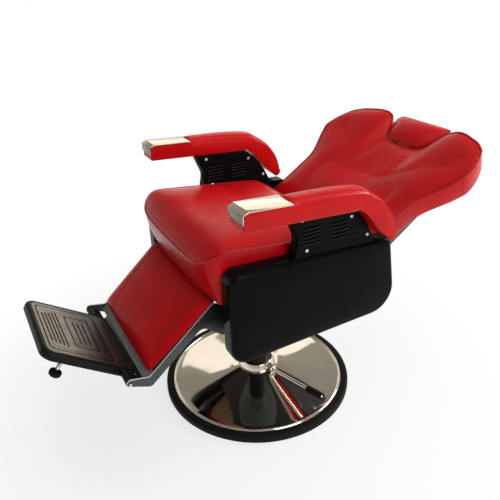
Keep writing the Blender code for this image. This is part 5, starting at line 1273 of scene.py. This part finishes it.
def make_footrest():
    land = FOOT_TOP - TREAD_THICKNESS
    base = FOOT_TOP - FOOT_DEPTH
    loops = [(FOOT_WALL, FOOT_TOP - FOOT_WALL), (0.0026, base), (0.0014, base), (0.0006, base + 0.001),
             (0.0, FOOT_TOP - 0.0085), (0.0006, FOOT_TOP - 0.0055), (0.0024, FOOT_TOP - 0.0026),
             (0.0056, FOOT_TOP - 0.0006), (0.0090, FOOT_TOP), (0.0108, FOOT_TOP), (0.0120, FOOT_TOP - 0.0006),
             (0.0128, land - 0.0004)]
    points = [FOOT @ Vector((x, y, height)) for inset, height in loops for x, y in foot_outline(inset)]
    numbers = numbered(len(loops), len(points) // len(loops))
    faces = [*strips(numbers), tuple(numbers[0]), tuple(numbers[-1])]
    tray = add_piece("footrest_casting", points, faces, CAST_BLACK, 30.0)
    drill(tray, HINGE_BORE, 0.160, FOOT @ turned(QUARTER, 'Y'))
    wear(tray, "footrest", "cast_footrest", "footrest_tray")
    toe = FOOT_REAR - 0.004

    def bar(forward, half):
        return capsule(0.0, toe - forward, 2 * half, 0.0042)

    def frame_groove(half_front, half_rear, near, far, wide, corner):
        return [trapezoid((half_front - grow, toe - far + grow, corner - grow / 2),
                          (half_rear - grow, toe - near - grow, corner - grow / 2)) for grow in (0.0, wide)]

    holes = frame_groove(0.113, 0.119, 0.050, 0.226, 0.0036, 0.016)
    long_bars = (0.212, 0.202, 0.192, 0.182, 0.172)
    holes += [bar(forward, 0.072 + 0.004 * k) for k, forward in enumerate(long_bars)]
    holes += frame_groove(0.080, 0.080, 0.079, 0.150, 0.0034, 0.008)
    holes += [bar(forward, 0.056) for forward in (0.100, 0.1145, 0.129)]
    tread = plate("footrest_tread", foot_outline(TREAD_INSET), TREAD_THICKNESS, CAST,
                  FOOT @ at(0.0, 0.0, land + 0.0002), 0.0005, holes)
    carry(tray, tread)
    knuckle = [(HINGE_BORE, 0.0), (0.0085, 0.0), (0.0095, 0.001), (0.0095, 0.048), (0.0085, 0.049),
               (HINGE_BORE, 0.049)]
    leaf_front, leaf_rear = 0.005, FOOT_REAR - 0.003
    for side, sign in SIDES:
        turn = FOOT @ at(sign * 0.1445, 0.0, 0.0) @ turned(sign * QUARTER, 'Y')
        carry(tray, lathe(side + "_hinge_knuckle", knuckle, CAST_BLACK, turn, 32, True))
        near, far = sorted((sign * 0.1476, sign * 0.1932))
        leaf = rounded([(near, leaf_front, 0.001), (far, leaf_front, 0.001), (far, leaf_rear, 0.006),
                        (near, leaf_rear, 0.006)])
        carry(tray, plate(side + "_hinge_leaf", leaf, 0.005, CAST_BLACK, FOOT))
    under = FOOT_TOP - FOOT_WALL - GAP
    end = under - 0.058
    high = end - GAP
    stud = [(0.0, under), (0.0046, under)]
    stud += [(0.0050 - 0.0004 * (k % 2), under - 0.0006 - 0.0007 * k) for k in range(80)]
    stud += [(0.0046, end), (0.0, end)]
    knob = rounded([(0.0, high, 0.0), (0.0095, high, 0.001), (0.016, high - 0.0035, 0.004),
                    (0.016, high - 0.0135, 0.004), (0.0125, high - 0.017, 0.002), (0.0, high - 0.017, 0.0)])
    for side, sign in SIDES:
        spot = FOOT @ at(sign * BUMPER_SIDE, BUMPER_FORWARD, 0.0)
        stud_piece = lathe(side + "_levelling_stud", stud, STEEL, spot, 32)
        wear(stud_piece, "footrest", "bare_steel", side + "_bumper_stud")
        knob_piece = lathe(side + "_rubber_bumper", knob, RUBBER, spot, 48)
        wear(knob_piece, "footrest", "black_rubber", side + "_bumper_foot")


def make_release():
    rise_angle = math.radians(8.0)
    start = COVER_OUTER + 0.0012
    middle = start + 0.003
    reach = 0.120
    hub = RELEASE @ at(-middle, 0.0, 0.0)
    outward = turned(-QUARTER, 'Y')
    bar = plate("release_bar", capsule(0.060, 0.0, 0.138, 0.018, 12), 0.006, CHROME,
                hub @ turned(rise_angle, 'X') @ ON_EDGE, 0.0015)
    wear(bar, "release_lever", "chrome", "release_lever")
    depth = middle - 0.2743
    shaft = [(0.0, 0.0), (0.008, 0.0), (0.008, -depth), (0.0, -depth)]
    carry(bar, lathe("release_shaft_rod", shaft, STEEL, hub @ outward, 40))
    end = RELEASE @ at(-start - 0.0055, reach * math.cos(rise_angle), reach * math.sin(rise_angle)) @ outward
    knob = rounded([(0.0, 0.0190, 0.0), (0.0118, 0.0190, 0.006), (0.0118, 0.0045, 0.002),
                    (0.0085, 0.0002, 0.001), (0.0, 0.0002, 0.0)])
    carry(bar, lathe("release_knob", knob, GLOSS_BLACK, end, 48))


def dress_inner_nodes():
    """Gives the CAD nodes that stay in view their materials, and softens the edges of the plates."""
    plates = {
        FRAME_BLACK: ("seat_cross_frame", "left_side_frame", "right_side_frame"),
        PLYWOOD: ("seat_board",),
        STEEL: ("headrest_post",),
        RAIL_GREY: ("left_back_arm", "right_back_arm", "headrest_guide", "left_recline_link",
                    "right_recline_link"),
    }
    others = {
        STEEL: ("base_plate", "pump_lever_pin", "recline_lock_tube", "left_back_pivot_pin",
                "right_back_pivot_pin", "left_leg_pivot_pin", "right_leg_pivot_pin"),
        CHROME: ("footrest_hinge_rod", "recline_lock_rod"),
    }
    for finishes in (plates, others):
        for material, names in finishes.items():
            for node in (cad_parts[name] for name in names):
                for slot in node.material_slots:
                    slot.material = material
                if finishes is plates:
                    weld = node.modifiers.new("weld", 'WELD')
                    weld.merge_threshold = 0.00002
                    edge = node.modifiers.new("edge", 'BEVEL')
                    edge.width = 0.0007
                    edge.segments = 2
                    edge.limit_method = 'ANGLE'
                    edge.angle_limit = math.radians(50.0)


# Floor, light and camera

WHITE = (1.0, 1.0, 1.0, 1.0)


def make_floor():
    """Pale floor that keeps the shadow near the chair and turns white further out."""
    size, height = 12.0, -0.0005
    near, far, near_white = 0.55, 1.10, 0.72
    corners = [(-size, -size, height), (size, -size, height), (size, size, height), (-size, size, height)]
    material = bpy.data.materials.new("pale_floor")
    material.use_nodes = True
    nodes = Nodes(material.node_tree)
    nodes.tree.nodes.clear()
    rays = nodes.add("ShaderNodeLightPath").outputs
    place = nodes.add("ShaderNodeTexCoord").outputs["Object"]
    reach = nodes.add("ShaderNodeVectorMath", {0: place}, operation='LENGTH').outputs["Value"]
    span = {"Value": reach, "From Min": near, "From Max": far, "To Min": near_white}
    share = nodes.add("ShaderNodeMapRange", span).outputs["Result"]
    seen = nodes.math('MAXIMUM', rays["Is Camera Ray"], rays["Is Glossy Ray"])
    seen = nodes.math('MAXIMUM', seen, rays["Is Transmission Ray"])
    matt = nodes.add("ShaderNodeBsdfDiffuse", {"Color": (0.86, 0.86, 0.86, 1.0)}).outputs["BSDF"]
    glow = nodes.add("ShaderNodeEmission", {"Color": WHITE}).outputs["Emission"]
    surface = nodes.blend_shaders(nodes.math('MULTIPLY', seen, share), matt, glow)
    nodes.add("ShaderNodeOutputMaterial", {"Surface": surface})
    add_piece("floor", corners, [(0, 1, 2, 3)], material)


def make_world():
    """White to the camera, a plain room to shiny surfaces, and an even soft light to the rest."""
    SCENE.world = bpy.data.worlds.new("studio")
    SCENE.world.use_nodes = True
    nodes = Nodes(SCENE.world.node_tree)
    nodes.tree.nodes.clear()
    rays = nodes.add("ShaderNodeLightPath").outputs
    place = nodes.add("ShaderNodeTexCoord").outputs["Generated"]
    height = nodes.add("ShaderNodeSeparateXYZ", {"Vector": place}).outputs["Z"]
    room = nodes.ramp(height, [(0.0, (0.90, 0.88, 0.85)), (0.14, (0.90, 0.88, 0.84)),
                               (0.36, (0.38, 0.35, 0.30)), (1.0, (0.24, 0.22, 0.19))])
    lit = nodes.add("ShaderNodeBackground", {"Color": WHITE, "Strength": 0.34}).outputs["Background"]
    mirrored = nodes.add("ShaderNodeBackground", {"Color": room}).outputs["Background"]
    white = nodes.add("ShaderNodeBackground", {"Color": WHITE}).outputs["Background"]
    unseen = nodes.blend_shaders(rays["Is Glossy Ray"], lit, mirrored)
    seen = nodes.math('MAXIMUM', rays["Is Camera Ray"], rays["Is Transmission Ray"])
    nodes.add("ShaderNodeOutputWorld", {"Surface": nodes.blend_shaders(seen, unseen, white)})


def make_lamps():
    for name, spot, target, wide, tall, power, colour in (
            ("window_light", (-2.9, 1.4, 2.0), (0.0, 0.0, 0.6), 2.4, 1.4, 10.0, (1.0, 0.93, 0.84)),
            ("ceiling_light", (0.4, 0.6, 3.2), (0.0, 0.0, 0.5), 2.4, 2.4, 20.0, (1.0, 0.98, 0.95)),
            ("side_light", (2.8, 0.4, 1.9), (0.0, 0.0, 0.5), 1.6, 1.6, 35.0, (1.0, 0.97, 0.94)),
            ("rear_light", (0.6, 3.0, 2.3), (0.0, 0.0, 0.6), 1.6, 1.2, 80.0, (1.0, 0.98, 0.95))):
        light = bpy.data.lights.new(name, 'AREA')
        light.shape = 'RECTANGLE'
        light.size = wide
        light.size_y = tall
        light.energy = power
        light.color = colour
        lamp = bpy.data.objects.new(name, light)
        SCENE.collection.objects.link(lamp)
        lamp.location = spot
        lamp.rotation_euler = (Vector(target) - Vector(spot)).to_track_quat('-Z', 'Y').to_euler()


def make_camera():
    """Camera at the photograph's angle; its focal length was solved in pixels of the 500 pixel picture."""
    place, focal, picture = (1.2937, -0.7100, 1.2431), 558.193, 500.0
    azimuth, pitch, roll = (math.radians(a) for a in (28.25, 27.4763, -1.4444))
    flat = math.cos(pitch)
    ahead = Vector((-flat * math.cos(azimuth), flat * math.sin(azimuth), -math.sin(pitch)))
    right = ahead.cross(Vector(UP)).normalized()
    up = right.cross(ahead)
    right, up = math.cos(roll) * right + math.sin(roll) * up, math.cos(roll) * up - math.sin(roll) * right
    camera = bpy.data.cameras.new("camera")
    camera.sensor_width = 36.0
    camera.lens = camera.sensor_width * focal / picture
    stand = bpy.data.objects.new("camera", camera)
    SCENE.collection.objects.link(stand)
    stand.matrix_world = at(*place) @ Matrix((right, up, -ahead)).transposed().to_4x4()
    SCENE.camera = stand
    SCENE.view_settings.view_transform = 'Standard'


make_floor()
make_world()
make_lamps()
make_camera()
make_base()
make_pump_lever()
for side, sign in SIDES:
    make_cover(side, sign)
    make_panels(side, sign)
    make_cap(side, sign)
make_back_board()
make_leg_rest()
make_footrest()
make_release()
dress_inner_nodes()
make_upholstery()
